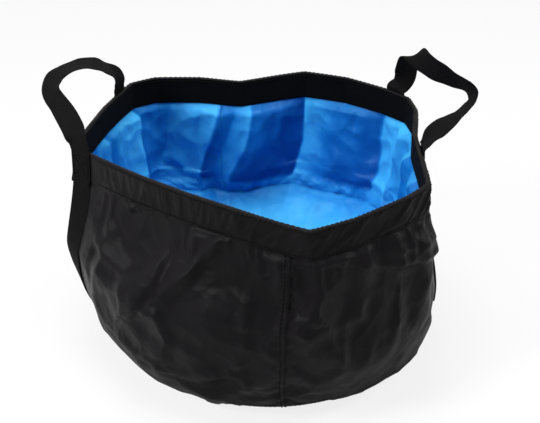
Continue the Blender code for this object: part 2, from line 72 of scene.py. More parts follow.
CREASE_HEIGHT = 0.085
DISH_DEPTH = 0.038
LINING_SLACK = 0.014
WEBBING_WIDTH = 0.020
WEBBING_THICKNESS = 0.0014
TAIL_LENGTH = 0.118
LOOP_REACH = 0.045
LOOP_RISE = 0.030
FRONT_SEAM = -78.0
REAR_SEAM = 102.0
FEET = {"left_rear": 139.0, "left_front": 189.3, "right_rear": 38.0, "right_front": -6.5}

# How deep each layer lies under the outermost surface
SHELL_DEPTH = HEM_CLOTH + CLEARANCE
LINING_DEPTH = 0.0031
FACING_DEPTH = 0.0038

# Angle, share of the rim's radius and share of the wave in its height
RIM_OUTLINE_SHARES = (
    (-174.0, 0.995, 0.0), (-168.0, 0.900, 0.0), (-141.0, 0.745, 0.2), (-116.0, 0.735, 0.2),
    (-94.0, 0.820, 0.0), (-72.0, 0.985, -1.0), (-57.0, 1.000, -0.7), (-38.0, 1.055, -0.2),
    (-29.0, 1.085, 0.0), (-16.0, 0.985, 0.0), (5.0, 0.940, 0.0), (23.0, 1.060, 0.0),
    (32.0, 1.115, 0.0), (42.0, 1.085, 0.1), (56.0, 1.045, 0.3), (71.0, 0.990, 0.5),
    (95.0, 0.900, -0.4), (110.0, 0.965, 0.0), (124.0, 1.090, 0.0), (133.0, 1.110, 0.0),
    (153.0, 0.990, 0.0), (172.0, 0.960, 0.0),
)

# Share of the height, share of the belly's reach, and how far the rim's outline has taken over
WALL_PROFILE_SHARES = (
    (0.000, 0.00, 0.00), (0.020, 0.20, 0.00), (0.067, 0.37, 0.02), (0.174, 0.58, 0.08),
    (0.330, 0.84, 0.24), (0.540, 1.00, 0.52), (0.720, 0.98, 0.82), (0.870, 0.92, 0.97),
    (1.000, 0.88, 1.00),
)

# The handles' loops, closer than in the solids: shares from the rear to the front foot, outwards and
# up, and the direction of the webbing's width along, outwards and up
LEFT_LOOP_SHARES = (
    (0.01, -0.02, 0.20, 0.95, 0.00, 0.30), (0.04, 0.01, 0.48, 0.93, 0.04, 0.37),
    (0.10, 0.11, 0.77, 0.95, 0.01, 0.32), (0.18, 0.23, 1.04, 0.99, -0.02, 0.14),
    (0.27, 0.38, 1.22, 0.99, -0.09, 0.08), (0.36, 0.52, 1.32, 0.97, -0.24, 0.08),
    (0.44, 0.66, 1.34, 0.92, -0.38, 0.02), (0.52, 0.79, 1.28, 0.59, -0.81, 0.00),
    (0.60, 0.82, 1.14, 0.41, -0.89, 0.22), (0.68, 0.75, 1.00, 0.43, -0.80, 0.42),
    (0.76, 0.56, 0.84, 0.29, -0.82, 0.50), (0.84, 0.36, 0.68, 0.05, -0.88, 0.48),
    (0.91, 0.20, 0.51, 0.10, -0.93, 0.35), (0.97, 0.08, 0.32, 0.60, -0.75, 0.09),
)
RIGHT_LOOP_SHARES = (
    (0.00, 0.10, 0.14, 0.75, 0.60, 0.05), (0.00, 0.17, 0.36, 0.30, 0.95, 0.00),
    (0.01, 0.19, 0.67, 0.11, 0.99, 0.00), (0.05, 0.23, 1.08, 0.03, 0.99, 0.11),
    (0.11, 0.33, 1.19, 0.21, 0.82, 0.53), (0.20, 0.45, 1.13, 0.27, 0.39, 0.88),
    (0.29, 0.57, 1.07, 0.18, 0.20, 0.96), (0.38, 0.72, 1.06, 0.35, 0.07, 0.93),
    (0.46, 0.85, 1.03, 0.56, 0.00, 0.83), (0.54, 1.00, 1.00, 0.77, 0.01, 0.64),
    (0.60, 1.08, 0.92, 0.83, 0.09, 0.55), (0.66, 1.09, 0.82, 0.89, 0.13, 0.44),
    (0.72, 0.99, 0.70, 0.93, 0.10, 0.34), (0.78, 0.84, 0.62, 0.95, 0.02, 0.30),
    (0.84, 0.64, 0.55, 0.97, 0.10, 0.16), (0.90, 0.43, 0.45, 0.96, 0.20, -0.12),
    (0.95, 0.22, 0.29, 0.84, 0.17, -0.50), (0.99, 0.07, 0.10, 0.90, 0.12, -0.35),
)

# Folds in the shell: how far they stand out, their width on the left and on the right of the
# line as one goes along it (all mm), their strength at the line's start and end, and the
# line itself as angle and height in mm.
SHELL_FOLDS = (
    (6.5, 20, 7, 1.0, 0.3, ((-146, 168), (-137, 172), (-119, 176), (-99, 175))),
    (8.5, 10, 42, 0.9, 0.4, ((-97, 176), (-106, 152), (-113, 133), (-128, 100))),
    (7.5, 8, 30, 0.2, 1.0, ((-124, 150), (-127, 122), (-131, 102), (-137, 86))),
    (3.5, 10, 9, 0.8, 0.4, ((-168, 131), (-152, 123), (-139, 112))),
    (3.0, 9, 9, 0.4, 0.4, ((-151, 92), (-140, 104), (-134, 89))),
    (3.0, 8, 10, 0.6, 0.6, ((-135, 89), (-124, 96))),
    (3.5, 9, 18, 0.9, 0.1, ((-124, 95), (-120, 76), (-124, 44))),
    (2.2, 8, 8, 0.5, 0.2, ((-97, 128), (-89, 118))),
    (2.2, 7, 9, 0.3, 0.8, ((-90, 127), (-92, 106))),
    (2.6, 8, 13, 0.8, 0.1, ((-92, 107), (-93, 87), (-98, 55))),
    (2.0, 7, 9, 0.4, 0.2, ((-96, 56), (-94, 32))),
    (5.0, 26, 10, 0.1, 0.3, ((-68, 150), (-74, 104), (-77, 70))),
    (5.0, 12, 12, 1.0, 0.2, ((-63, 168), (-57, 153), (-52, 138))),
    (6.0, 30, 7, 0.4, 0.8, ((-55, 148), (-43, 140), (-29, 137))),
    (3.5, 12, 6, 0.3, 0.8, ((-46, 154), (-31, 149))),
    (3.0, 8, 14, 0.5, 0.1, ((-62, 95), (-68, 50))),
    (2.5, 10, 14, 0.2, 0.2, ((-55, 124), (-57, 96))),
    (2.6, 9, 12, 0.4, 0.2, ((-32, 84), (-37, 60))),
    (5.0, 14, 26, 1.0, 0.1, ((-84, 172), (-80, 150), (-83, 120))),
    (5.0, 27, 21, 0.2, 0.2, ((-40, 166), (-34, 127), (-30, 86))),
    (5.6, 30, 16, 0.3, 0.1, ((14, 185), (18, 117), (14, 46))),
    (2.4, 8, 14, 0.5, 0.2, ((24, 150), (29, 122), (26, 90))),
    (5.6, 18, 36, 0.3, 0.1, ((60, 185), (66, 144), (74, 117), (70, 62))),
    (2.6, 10, 8, 0.4, 0.2, ((54, 92), (60, 70), (57, 46))),
    (4.8, 18, 18, 0.3, 0.1, ((84, 185), (87, 136), (92, 88))),
    (2.4, 8, 12, 0.3, 0.3, ((96, 76), (104, 58), (100, 34))),
    (5.6, 16, 30, 0.3, 0.1, ((113, 185), (110, 127), (117, 58))),
    (2.6, 8, 12, 0.5, 0.2, ((124, 104), (121, 80), (126, 52))),
    (5.2, 24, 18, 0.3, 0.1, ((161, 185), (158, 136), (163, 78))),
    (2.4, 8, 12, 0.4, 0.2, ((172, 84), (168, 62), (174, 40))),
    (4.8, 18, 18, 0.2, 0.2, ((-156, 156), (-152, 117), (-158, 74))),
)

# The lining's pleats, one after another round it: how far each crest or valley stands in (mm),
# the painted light and shade of the film before and behind its line (higher is lighter), and the line
# itself as angle and height in mm. The cloth is nearly flat between them.
LINING_PLEATS = (
    (7.0, 0.35, 0.70, ((-161, 172), (-158, 130), (-163, 86))),
    (2.0, 0.60, 0.45, ((-151, 172), (-150, 130), (-151, 86))),
    (8.0, 0.30, 0.75, ((-140, 172), (-142, 132), (-138, 86))),
    (2.5, 0.60, 0.50, ((-129, 172), (-127, 130), (-127, 86))),
    (7.0, 0.35, 0.70, ((-118, 172), (-112, 126), (-116, 86))),
    (2.0, 0.60, 0.45, ((-104, 172), (-102, 130), (-105, 86))),
    (7.5, 0.30, 0.75, ((-92, 172), (-90, 130), (-96, 86))),
    (2.0, 0.60, 0.45, ((-80, 172), (-79, 130), (-82, 86))),
    (6.5, 0.35, 0.70, ((-70, 172), (-66, 128), (-70, 86))),
    (2.5, 0.60, 0.50, ((-60, 172), (-60, 130), (-60, 86))),
    (8.0, 0.30, 0.75, ((-50, 172), (-54, 130), (-50, 86))),
    (2.0, 0.60, 0.45, ((-40, 172), (-41, 130), (-37, 86))),
    (7.0, 0.35, 0.70, ((-30, 172), (-28, 132), (-24, 86))),
    (2.0, 0.60, 0.45, ((-20, 172), (-18, 130), (-18, 86))),
    (8.0, 0.40, 0.75, ((-10, 172), (-6, 126), (-12, 86))),
    (2.0, 0.65, 0.60, ((0, 172), (1, 130), (1, 86))),
    (7.5, 0.45, 0.90, ((9, 172), (8, 130), (11, 86))),
    (2.0, 0.85, 0.80, ((17, 172), (18, 130), (21, 86))),
    (9.5, 0.80, 1.00, ((25, 172), (28, 137), (33, 116), (32, 84))),
    (1.5, 0.85, 0.20, ((40, 180), (41, 145), (41, 117), (44, 84))),
    (9.5, 0.34, 0.30, ((56, 179), (56, 130), (60, 95), (62, 84))),
    (2.0, 0.85, 0.02, ((70.5, 172), (71.5, 130), (78, 84))),
    (9.0, 0.26, 0.80, ((91, 172), (93, 140), (96, 124), (101, 84))),
    (4.5, 0.55, 0.40, ((97, 172), (100, 140), (102.5, 124), (107, 84))),
    (10.0, 0.12, 0.80, ((102, 172), (105, 140), (108, 123), (113, 84))),
    (1.5, 0.68, 0.50, ((118.5, 172), (121, 132), (128, 100), (129, 84))),
    (9.5, 0.34, 1.00, ((135, 172), (134, 116), (137, 84))),
    (3.0, 0.90, 0.85, ((146, 172), (144, 130), (145, 86))),
    (7.0, 0.45, 0.80, ((156, 172), (154, 128), (152, 86))),
    (2.0, 0.60, 0.50, ((166, 172), (165, 130), (162, 86))),
    (8.0, 0.35, 0.75, ((178, 172), (174, 126), (171, 86))),
    (2.0, 0.60, 0.45, ((188, 172), (187, 130), (184, 86))),
)

# Share of straight sides in the rim's outline, from rounded to cornered
RIM_SHARPNESS = 0.80

# Degrees that the front seam drifts to the left on its way down
SEAM_LEAN = 7.5

# The furthest that folds stand out together
FOLD_LIMIT = 0.0085

# The share of the height at which the walls' cloth ends, inside the hem
CLOTH_TOP = 1.0 - 0.012 / RIM_HEIGHT

# How finely the cloth is cut, and how long it settles
SHELL_COLUMNS, SHELL_ROWS = 560, 96
LINING_COLUMNS, LINING_ROWS = 600, 72
HEM_ROWS = 34
SETTLING_FRAMES = 22

# Lengths of cloth round the basin in mm, for the weave
HEM_GIRTH = 946.0
STRIP_GIRTH = 940.0
WELT_GIRTH = 770.0
TAPE_GIRTH = 800.0

# The felled seams: width, height above the cloth, and ends as shares of the basin's height
SEAM_WIDTH = 0.0075
SEAM_LIFT = 0.0009
SEAM_LOW, SEAM_HIGH = 0.012, 0.868

# Stitches round the hem, and small nicks that its gathers make in the top edge
HEM_STITCHES = 284
HEM_NICKS = 236

# The box of stitches on a strap's foot: half its width, and its ends below the rim
FOOT_BOX = (0.0078, 0.0035, 0.0225)
FOOT_STITCH_PITCH = 0.0028

# How far the tails are pressed into the slack cloth, and how wide they touch it on each side
TAIL_SUNK = 0.0003
TAIL_TOUCH = 0.009


# ---------------------------------------------------------------- the basin's own surface

def ramp(value, low, high):
    """0 below low, 1 above high, and smooth between them."""
    share = np.clip((value - low) / (high - low), 0.0, 1.0)
    return share * share * (3 - 2 * share)


def turned(angle):
    """The same angle between -180 and 180 degrees."""
    return (angle + 180.0) % 360.0 - 180.0


def degrees_round(length):
    """The angle that a length spans on the rim."""
    return length / RIM_RADIUS * 180.0 / math.pi


def ring(angle, up):
    """Places on a ring of radius 1, so that noise read there closes round the basin."""
    turn = np.radians(angle)
    return np.stack((np.cos(turn), np.sin(turn), up), -1)


def smooth_read(table, place, column):
    """Read a column of a table at places on its first column, along a smooth curve."""
    rows = np.array(table, float)
    at, value = rows[:, 0], rows[:, column]
    last = len(at) - 1
    before, after = np.r_[0, 0:last], np.r_[1:last + 1, last]
    slope = (value[after] - value[before]) / (at[after] - at[before])
    span = np.clip(np.searchsorted(at, place) - 1, 0, last - 1)
    width = at[span + 1] - at[span]
    along = (place - at[span]) / width
    square, cube = along ** 2, along ** 3
    return (
        (2 * cube - 3 * square + 1) * value[span]
        + (cube - 2 * square + along) * width * slope[span]
        + (3 * square - 2 * cube) * value[span + 1]
        + (cube - square) * width * slope[span + 1]
    )


RIM_ALL_ROUND = [(row[0] + turn, *row[1:]) for turn in (-360, 0, 360) for row in RIM_OUTLINE_SHARES]


def rim_read(angle, column, sharp=0.0):
    """Read the rim's outline at angles: rounded, or as far as sharp says with straight sides."""
    here = turned(angle)
    rounded = smooth_read(RIM_ALL_ROUND, here, column)
    rows = np.array(RIM_ALL_ROUND, float)
    span = np.searchsorted(rows[:, 0], here) - 1
    near, far = rows[span], rows[span + 1]
    turn, step = np.radians(here - near[..., 0]), np.radians(far[..., 0] - near[..., 0])
    if column == 1:
        reach = near[..., 1] * np.sin(turn) + far[..., 1] * np.sin(step - turn)
        straight = near[..., 1] * far[..., 1] * np.sin(step) / reach
    else:
        straight = near[..., 2] + (far[..., 2] - near[..., 2]) * turn / step
    return rounded + (straight - rounded) * sharp


def rim_top(angle):
    return RIM_HEIGHT + RIM_WAVE * rim_read(angle, 2, RIM_SHARPNESS)


def height_share(angle, below_rim):
    return 1.0 - below_rim / rim_top(angle)


def skin(angle, share):
    """Points on the outermost surface, at angles in degrees and shares of the height."""
    girth = FLOOR_RADIUS + GIRTH_REACH * smooth_read(WALL_PROFILE_SHARES, share, 1)
    take = smooth_read(WALL_PROFILE_SHARES, share, 2)
    outline = rim_read(angle, 1, RIM_SHARPNESS * ramp(share, 0.70, 0.95))
    radius = girth + (RIM_RADIUS * outline - girth) * take
    drift = np.minimum(share / WALL_PROFILE_SHARES[5][0], 1.0)
    turn = np.radians(angle)
    return np.stack((
        RIM_SHIFT_X * drift + radius * np.cos(turn),
        RIM_SHIFT_Y * drift + radius * np.sin(turn),
        rim_top(angle) * share,
    ), -1)


def outward(angle, share):
    """Unit directions straight out of the outermost surface."""
    across = skin(angle + 0.5, share) - skin(angle - 0.5, share)
    up = skin(angle, np.minimum(share + 0.01, 1.0)) - skin(angle, np.maximum(share - 0.01, 0.0))
    normal = np.cross(across, up)
    return normal / np.linalg.norm(normal, axis=-1, keepdims=True)


def layer(angle, share, depth):
    """Points at depths under the outermost surface."""
    angle, share, depth = np.broadcast_arrays(*(np.asarray(v, float) for v in (angle, share, depth)))
    return skin(angle, share) - outward(angle, share) * depth[..., None]


def lining_slack(angle, share):
    hem = height_share(angle, HEM_HEIGHT)
    return LINING_SLACK * ramp(hem - share, 0.0, hem - CREASE_HEIGHT / RIM_HEIGHT)


def rumple(points, scale, seed):
    """Smooth noise from about -1 to 1 at points, with features of about 1/scale metres."""
    flat = np.asarray(points, float).reshape(-1, 3) * scale + seed
    return np.array([noise.noise(Vector(point)) for point in flat]).reshape(np.shape(points)[:-1])


def crinkles(points, height, scale, seed, share=0.25):
    """Crisp ridges of crushed cloth, which stand up by a share of the height and lie in by the rest."""
    return height * (share - np.abs(rumple(points, scale, seed)))


def fold_field(angle, height):
    """How far the folds move the shell at angles and heights, in metres."""
    total = np.zeros(np.shape(angle))
    for stand, left, right, start, end, line in SHELL_FOLDS:
        first = line[0][0]
        around = np.radians(turned(angle - first)) * RIM_RADIUS
        knots = [(math.radians(a - first) * RIM_RADIUS, z / 1000.0) for a, z in line]
        lengths = [math.dist(a, b) for a, b in zip(knots, knots[1:])]
        nearest = np.full(np.shape(angle), np.inf)
        side = along = np.zeros(np.shape(angle))
        gone = 0.0
        for (u0, v0), (u1, v1), length in zip(knots, knots[1:], lengths):
            du, dv = u1 - u0, v1 - v0
            place = np.clip(((around - u0) * du + (height - v0) * dv) / length ** 2, 0.0, 1.0)
            away_u, away_v = around - u0 - place * du, height - v0 - place * dv
            away = np.hypot(away_u, away_v)
            closer = away < nearest
            nearest = np.where(closer, away, nearest)
            side = np.where(closer, du * away_v - dv * away_u, side)
            along = np.where(closer, (gone + place * length) / sum(lengths), along)
            gone += length
        width = np.where(side > 0, left, right) / 1000.0
        crest = np.clip(1.0 - nearest / width, 0.0, 1.0) ** 1.1
        strength = start + (1.0 - start) * ramp(along, 0.0, 0.35)
        strength *= end + (1.0 - end) * ramp(1.0 - along, 0.0, 0.45)
        total += stand / 1000.0 * crest * strength
    return np.minimum(total, FOLD_LIMIT)


def pleat_field(angle, height, painted_shading=False):
    """How far the pleats hold the lining in, in metres, or the painted light and shade of the film beside
    them.
    """
    angle = angle + 1.8 * rumple(ring(angle, height / RIM_RADIUS * 0.6), 5.0, 40.5)
    total = np.empty(np.shape(angle))
    for row in np.ndindex(total.shape[:-1]):
        level = float(np.mean(height[row])) * 1000.0
        lines = [
            np.interp(-level, [-z for a, z in line], [a for a, z in line]) for *_, line in LINING_PLEATS
        ]
        # Painted light and shade: one value on each side of each pleat's line.
        if painted_shading:
            lines = [line + step for line in lines for step in (-0.6, 0.6)]
            values = [value for pleat in LINING_PLEATS for value in pleat[1:3]]
        else:
            values = [pleat[0] / 1000.0 for pleat in LINING_PLEATS]
        total[row] = np.interp(angle[row], lines, values, period=360.0)
    return total


def crease_pleats(angle, painted_shading=False):
    """The pleats where the lining's wall meets its floor."""
    return pleat_field(angle[None], np.full((1, len(angle)), CREASE_HEIGHT), painted_shading)[0]


class Drape:
    """A piece of cloth laid round the basin as a grid of points, columns round it and rows up it."""

    def __init__(self, angles, shares, points):
        self.angles, self.shares, self.points = angles, shares, points
        self.facing = self.normals()

    def normals(self):
        ring = np.concatenate([self.points[:, -2:-1], self.points, self.points[:, 1:2]], 1)
        across = ring[:, 2:] - ring[:, :-2]
        up = np.gradient(self.points, axis=0)
        normal = np.cross(across, up)
        return normal / np.linalg.norm(normal, axis=-1, keepdims=True)

    def at(self, angle, share, lift=0.0):
        """Points on the cloth, lifted off its outer side, at angles and shares of the height."""
        angle, share = np.broadcast_arrays(np.asarray(angle, float), np.asarray(share, float))
        last = len(self.angles) - 1
        column = (angle - self.angles[0]) % 360.0 / 360.0 * last
        row = np.interp(share, self.shares, np.arange(len(self.shares)))
        c, r = np.minimum(column.astype(int), last - 1), np.minimum(row.astype(int), len(self.shares) - 2)
        a, b = (column - c)[..., None], (row - r)[..., None]

        def mix(grid):
            low = grid[r, c] * (1 - a) + grid[r, c + 1] * a
            high = grid[r + 1, c] * (1 - a) + grid[r + 1, c + 1] * a
            return low * (1 - b) + high * b

        normal = mix(self.facing)
        normal = normal / np.linalg.norm(normal, axis=-1, keepdims=True)
        return mix(self.points) + normal * np.asarray(lift, float)[..., None]


# ---------------------------------------------------------------- finishes

class Reading:
    """A value that changes over a surface. Sums of it add Math nodes to the finish."""

    def __init__(self, finish, socket):
        self.finish, self.socket = finish, socket

    def maths(self, operation, first, second=0.0):
        return self.finish.node("ShaderNodeMath", {"operation": operation}, {0: first, 1: second})

    def __add__(self, other):
        return self.maths("ADD", self, other)

    def __sub__(self, other):
        return self.maths("SUBTRACT", self, other)

    def __mul__(self, other):
        return self.maths("MULTIPLY", self, other)

    def __abs__(self):
        return self.maths("ABSOLUTE", self)

    def sine(self):
        return self.maths("SINE", self)

    __radd__ = __add__


class Finish:
    """A material while it is being put together."""

    def __init__(self, name, **fixed):
        self.material = bpy.data.materials.new(name)
        self.material.use_nodes = True
        self.tree = self.material.node_tree
        self.shader = self.tree.nodes["Principled BSDF"]
        for socket, value in fixed.items():
            self.shader.inputs[socket.replace("_", " ")].default_value = value

    def node(self, kind, settings, inputs, output=0):
        made = self.tree.nodes.new(kind)
        for name, value in settings.items():
            setattr(made, name, value)
        for name, value in inputs.items():
            if isinstance(value, Reading):
                self.tree.links.new(value.socket, made.inputs[name])
            else:
                made.inputs[name].default_value = value
        return Reading(self, made.outputs[output])

    def place(self):
        return self.node("ShaderNodeTexCoord", {}, {}, "Object")

    def cloth(self):
        """(across, along) of the piece's own cloth, in millimetres."""
        apart = {"Vector": self.node("ShaderNodeUVMap", {"uv_map": "cloth"}, {})}
        return [self.node("ShaderNodeSeparateXYZ", {}, apart, axis) for axis in "XY"]

    def plain_weave(self, threads):
        across, along = self.cloth()
        return (across * threads).sine() * (along * threads).sine()

    def noise(self, scale, detail=3.0, rough=0.5, warp=0.0, output=0):
        return self.node("ShaderNodeTexNoise", {}, {
            "Vector": self.place(), "Scale": scale, "Detail": detail,
            "Roughness": rough, "Distortion": warp,
        }, output)

    def creases(self, scale):
        """Facets between sharp ridges, like cloth that was crushed in the hand."""
        moved = self.node("ShaderNodeVectorMath", {"operation": "MULTIPLY_ADD"}, {
            0: self.noise(scale * 0.5, 2.0, output="Color"), 1: (0.8 / scale,) * 3, 2: self.place(),
        })
        inputs = {"Vector": moved, "Scale": scale}
        return self.node("ShaderNodeTexVoronoi", {"feature": "F1"}, inputs, "Distance")

    def mix(self, share, first, last, middle=None):
        """Mix two colours by a share that is kept between 0 and 1, or three with one halfway."""
        mixed = self.node("ShaderNodeValToRGB", {}, {0: self.node("ShaderNodeClamp", {}, {"Value": share})})
        stops = mixed.socket.node.color_ramp.elements
        stops[0].color, stops[1].color = (*first, 1.0), (*last, 1.0)
        if middle:
            stops.new(0.5).color = (*middle, 1.0)
        return mixed

    def relief(self, *layers):
        """Bumps one over another, each as a height and the millimetres that it stands out."""
        under = {}
        for height, millimetres in layers:
            inputs = {"Height": height, "Distance": millimetres / 1000.0, "Strength": 1.0, **under}
            under = {"Normal": self.node("ShaderNodeBump", {}, inputs)}
        return under["Normal"]

    def feed(self, **readings):
        for socket, value in readings.items():
            self.tree.links.new(value.socket, self.shader.inputs[socket.replace("_", " ")])
        return self.material


def nylon_finish(name, dark, light, roughness, crumple):
    """Black coated nylon: a fine plain weave, soft crinkles and paler creases."""
    work = Finish(name, Specular_IOR_Level=0.065)
    weave = work.plain_weave(9.0)
    broad = work.noise(16.0, 4.0, 0.55, 0.6)
    ridges = abs(work.noise(26.0, 2.0, 0.4, 0.5) - 0.5)
    return work.feed(
        Base_Color=work.mix(broad * 1.6 - 0.3 + weave * 0.12, dark, light),
        Roughness=roughness - 0.06 + broad * 0.14 + weave * 0.02,
        Normal=work.relief(
            (weave, 0.02), (work.noise(190.0, 2.0, 0.6), 0.08 * crumple), (ridges, 1.2 * crumple),
            (work.creases(48.0), 2.2 * crumple), (work.creases(18.0), 5.5 * crumple),
        ),
    )


def lining_finish(name, deep, mid, bright, crumple):
    """Blue coated lining: glossy film over a fine weave, with soft crinkles, and painted light and shade on
    its pleats from a vertex attribute.
    """
    work = Finish(name, Specular_IOR_Level=0.27, Specular_Tint=(0.40, 0.85, 1.0, 1.0))
    weave = work.plain_weave(8.0)
    broad = work.noise(11.0, 4.0, 0.6, 0.8)
    ridges = abs(work.noise(24.0, 2.0, 0.45, 0.6) - 0.5)
    # Painted light and shade of the pleats, stored on the cloth's vertices.
    painted_shading = work.node("ShaderNodeAttribute", {"attribute_name": "painted_shading"}, {}, "Fac")
    return work.feed(
        # The blue runs from a painted shade colour through a middle one to a painted light colour, by the
        # painted shading and random noise.
        Base_Color=work.mix(painted_shading * 0.95 + broad * 0.8 - 0.38 + weave * 0.05, deep, bright, mid),
        Roughness=0.36 + broad * 0.16,
        Normal=work.relief(
            (weave, 0.012), (work.noise(120.0, 2.0, 0.6), 0.10 * crumple), (ridges, 1.4 * crumple),
            (work.creases(52.0), 2.0 * crumple), (work.creases(20.0), 4.5 * crumple),
        ),
    )


def webbing_finish(name, dark, light, rib, roughness):
    """Woven webbing: ribs across it, offset from thread to thread, and firm edges."""
    work = Finish(name, Specular_IOR_Level=0.05)
    across, along = work.cloth()
    pitch = 2.0 * math.pi / rib
    threads = (across * pitch).sine()
    picks = (along * pitch * 0.9 + threads * 1.3).sine()
    weave = picks * 0.5 + threads * 0.5
    worn = work.noise(60.0, 4.0, 0.6)
    return work.feed(
        Base_Color=work.mix(weave * 0.35 + worn * 0.9 - 0.1, dark, light),
        Roughness=roughness - 0.05 + worn * 0.12,
        Normal=work.relief((weave, 0.16), (worn, 0.10)),
    )


def plain_finish(name, colour, shares, sheen, waves, roughness, spread):
    """Thread or plain plastic: one colour that varies between two shares of it, with faint waves."""
    work = Finish(name, Specular_IOR_Level=sheen)
    wave = work.noise(*waves)
    dark, light = (tuple(value * share for value in colour) for share in shares)
    return work.feed(
        Base_Color=work.mix(wave, dark, light), Roughness=roughness + wave * spread,
        Normal=work.relief((wave, 0.05)),
    )


def plastic_finish(name, colour, roughness):
    return plain_finish(name, colour, (0.92, 1.0), 0.5, (70.0, 3.0), roughness, 0.12)


shell_nylon = nylon_finish(
    "shell_nylon", (0.0030, 0.0026, 0.0031), (0.0068, 0.0058, 0.0070), roughness=0.38, crumple=1.0,
)
hem_nylon = nylon_finish(
    "hem_nylon", (0.0026, 0.0022, 0.0026), (0.0062, 0.0053, 0.0062), roughness=0.42, crumple=0.55,
)
blue_film = lining_finish(
    "blue_film", (0.001, 0.042, 0.260), (0.005, 0.150, 0.490), (0.055, 0.430, 0.840), crumple=0.95,
)
strap_weave = webbing_finish(
    "strap_weave", (0.0022, 0.0020, 0.0022), (0.0080, 0.0073, 0.0080), rib=1.6, roughness=0.75,
)
binding_weave = webbing_finish(
    "binding_weave", (0.0016, 0.0016, 0.0019), (0.0044, 0.0044, 0.0050), rib=1.1, roughness=0.85,
)
black_thread = plain_finish(
    "black_thread", (0.0024, 0.0022, 0.0024), (0.6, 1.4), 0.05, (900.0, 2.0), roughness=0.5, spread=0.2,
)
tape_film = plastic_finish("tape_film", (0.45, 0.52, 0.60), 0.28)
strip_plastic = plastic_finish("strip_plastic", (0.70, 0.70, 0.68), 0.42)


# ---------------------------------------------------------------- building pieces

def mapped_sheet(columns, rows, place, closed=False, painted_shading=None):
    """A grid whose corners go where a function of arrays (across, up) puts them, with a cloth map and any
    painted light and shade as a vertex attribute.
    """
    work = bmesh.new()
    bmesh.ops.create_grid(work, x_segments=columns, y_segments=rows, size=1.0)
    across = np.array([(vertex.co.x + 1) / 2 for vertex in work.verts])
    up = np.array([(vertex.co.y + 1) / 2 for vertex in work.verts])
    points, flat = place(across, up)
    cloth = work.loops.layers.uv.new("cloth")
    for face in work.faces:
        for corner in face.loops:
            corner[cloth].uv = flat[corner.vert.index]
    if painted_shading:
        shade = work.verts.layers.float.new("painted_shading")
        for vertex, value in zip(work.verts, painted_shading(across, up)):
            vertex[shade] = value
    for vertex, point in zip(work.verts, points):
        vertex.co = point
    if closed:
        bmesh.ops.remove_doubles(work, verts=work.verts, dist=1e-6)
    return work


def placed(name, content):
    """A new object in the scene, from a piece under work or from a lamp or camera."""
    if isinstance(content, bmesh.types.BMesh):
        mesh = bpy.data.meshes.new(name)
        content.to_mesh(mesh)
        content.free()
        content = mesh
    thing = bpy.data.objects.new(name, content)
    bpy.context.scene.collection.objects.link(thing)
    return thing


def add_piece(name, work, material, body, thickness=0.0, nodes=(), crumples=False):
    """Add a piece to a body, with its cloth's thickness on the inner side, in place of some solids.

    A piece that crumples gets a mesh of its own.
    """
    piece = placed(name, work)
    piece.data.shade_smooth()
    piece.data.materials.append(material)
    if body:
        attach(piece, body)
    if crumples:
        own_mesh(piece)
    if thickness:
        solid = piece.modifiers.new("thickness", "SOLIDIFY")
        solid.thickness, solid.offset = thickness, -1.0
    if nodes:
        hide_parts(*nodes)
    return piece


# ---------------------------------------------------------------- the shell

def near_feet(angle, reach=7.0):
    """1 under a strap's foot, 0 away from it."""
    cover = np.zeros(np.shape(angle))
    for foot in FEET.values():
        cover = np.maximum(cover, 1.0 - ramp(np.abs(turned(angle - foot)), reach, reach + 3.0))
    return cover


def doubled(grid):
    """A grid with a new row and column halfway between each two of its own."""
    for axis in (0, 1):
        grid = np.moveaxis(grid, axis, 0)
        full = np.empty((2 * len(grid) - 1, *grid.shape[1:]))
        full[0::2], full[1::2] = grid, (grid[:-1] + grid[1:]) / 2
        grid = np.moveaxis(full, 0, axis)
    return grid


def settle(points, growth, cap, stiffness):
    """How a tube of cloth, a little larger than its place, buckles between its two held edges."""
    points = points[::2, ::2]
    rows, columns = points.shape[:2]
    work = bmesh.new()
    bmesh.ops.create_grid(work, x_segments=columns - 1, y_segments=rows - 1, size=1.0)
    work.verts.ensure_lookup_table()
    order = np.array([
        (round((v.co.y + 1) / 2 * (rows - 1)), round((v.co.x + 1) / 2 * (columns - 1))) for v in work.verts
    ])
    for vertex, (row, column) in zip(work.verts, order):
        vertex.co = points[row, column]
    trial = placed("settling", work)
    held = trial.vertex_groups.new(name="held")
    edge = np.minimum(order[:, 0], rows - 1 - order[:, 0])
    ends = (order[:, 1] == 0) | (order[:, 1] == columns - 1)
    for weight, mask in ((1.0, (edge < 2) | ends), (0.4, (edge == 2) & ~ends), (0.15, (edge == 3) & ~ends)):
        held.add([int(index) for index in np.nonzero(mask)[0]], weight, "REPLACE")
    cloth = trial.modifiers.new("settle", "CLOTH")
    facts = cloth.settings
    facts.quality = 5
    facts.mass = 0.12
    facts.tension_stiffness = facts.compression_stiffness = 12.0
    facts.shear_stiffness = 6.0
    facts.bending_stiffness = stiffness
    facts.vertex_group_mass = "held"
    facts.shrink_min = facts.shrink_max = -growth
    facts.effector_weights.gravity = 0.25
    scene = bpy.context.scene
    cloth.point_cache.frame_start, cloth.point_cache.frame_end = 1, SETTLING_FRAMES
    for step in range(1, SETTLING_FRAMES + 1):
        scene.frame_set(step)
    ready = trial.evaluated_get(bpy.context.evaluated_depsgraph_get())
    moved = np.array([v.co for v in ready.data.vertices])
    bpy.data.objects.remove(trial)
    scene.frame_set(1)
    result = points.copy()
    result[order[:, 0], order[:, 1]] = moved
    shift = result - points
    far = np.linalg.norm(shift, axis=-1, keepdims=True)
    shift *= cap * np.tanh(far / cap) / np.maximum(far, 1e-9)
    shift[:, -1] = shift[:, 0]
    return doubled(shift)


def held_within(points, flat, normal, low, high):
    """Points held between two distances from the flat cloth, and closed round the basin."""
    stand = ((points - flat) * normal).sum(-1)
    points = points + normal * (np.clip(stand, low, high) - stand)[..., None]
    points[:, -1] = points[:, 0]
    return points


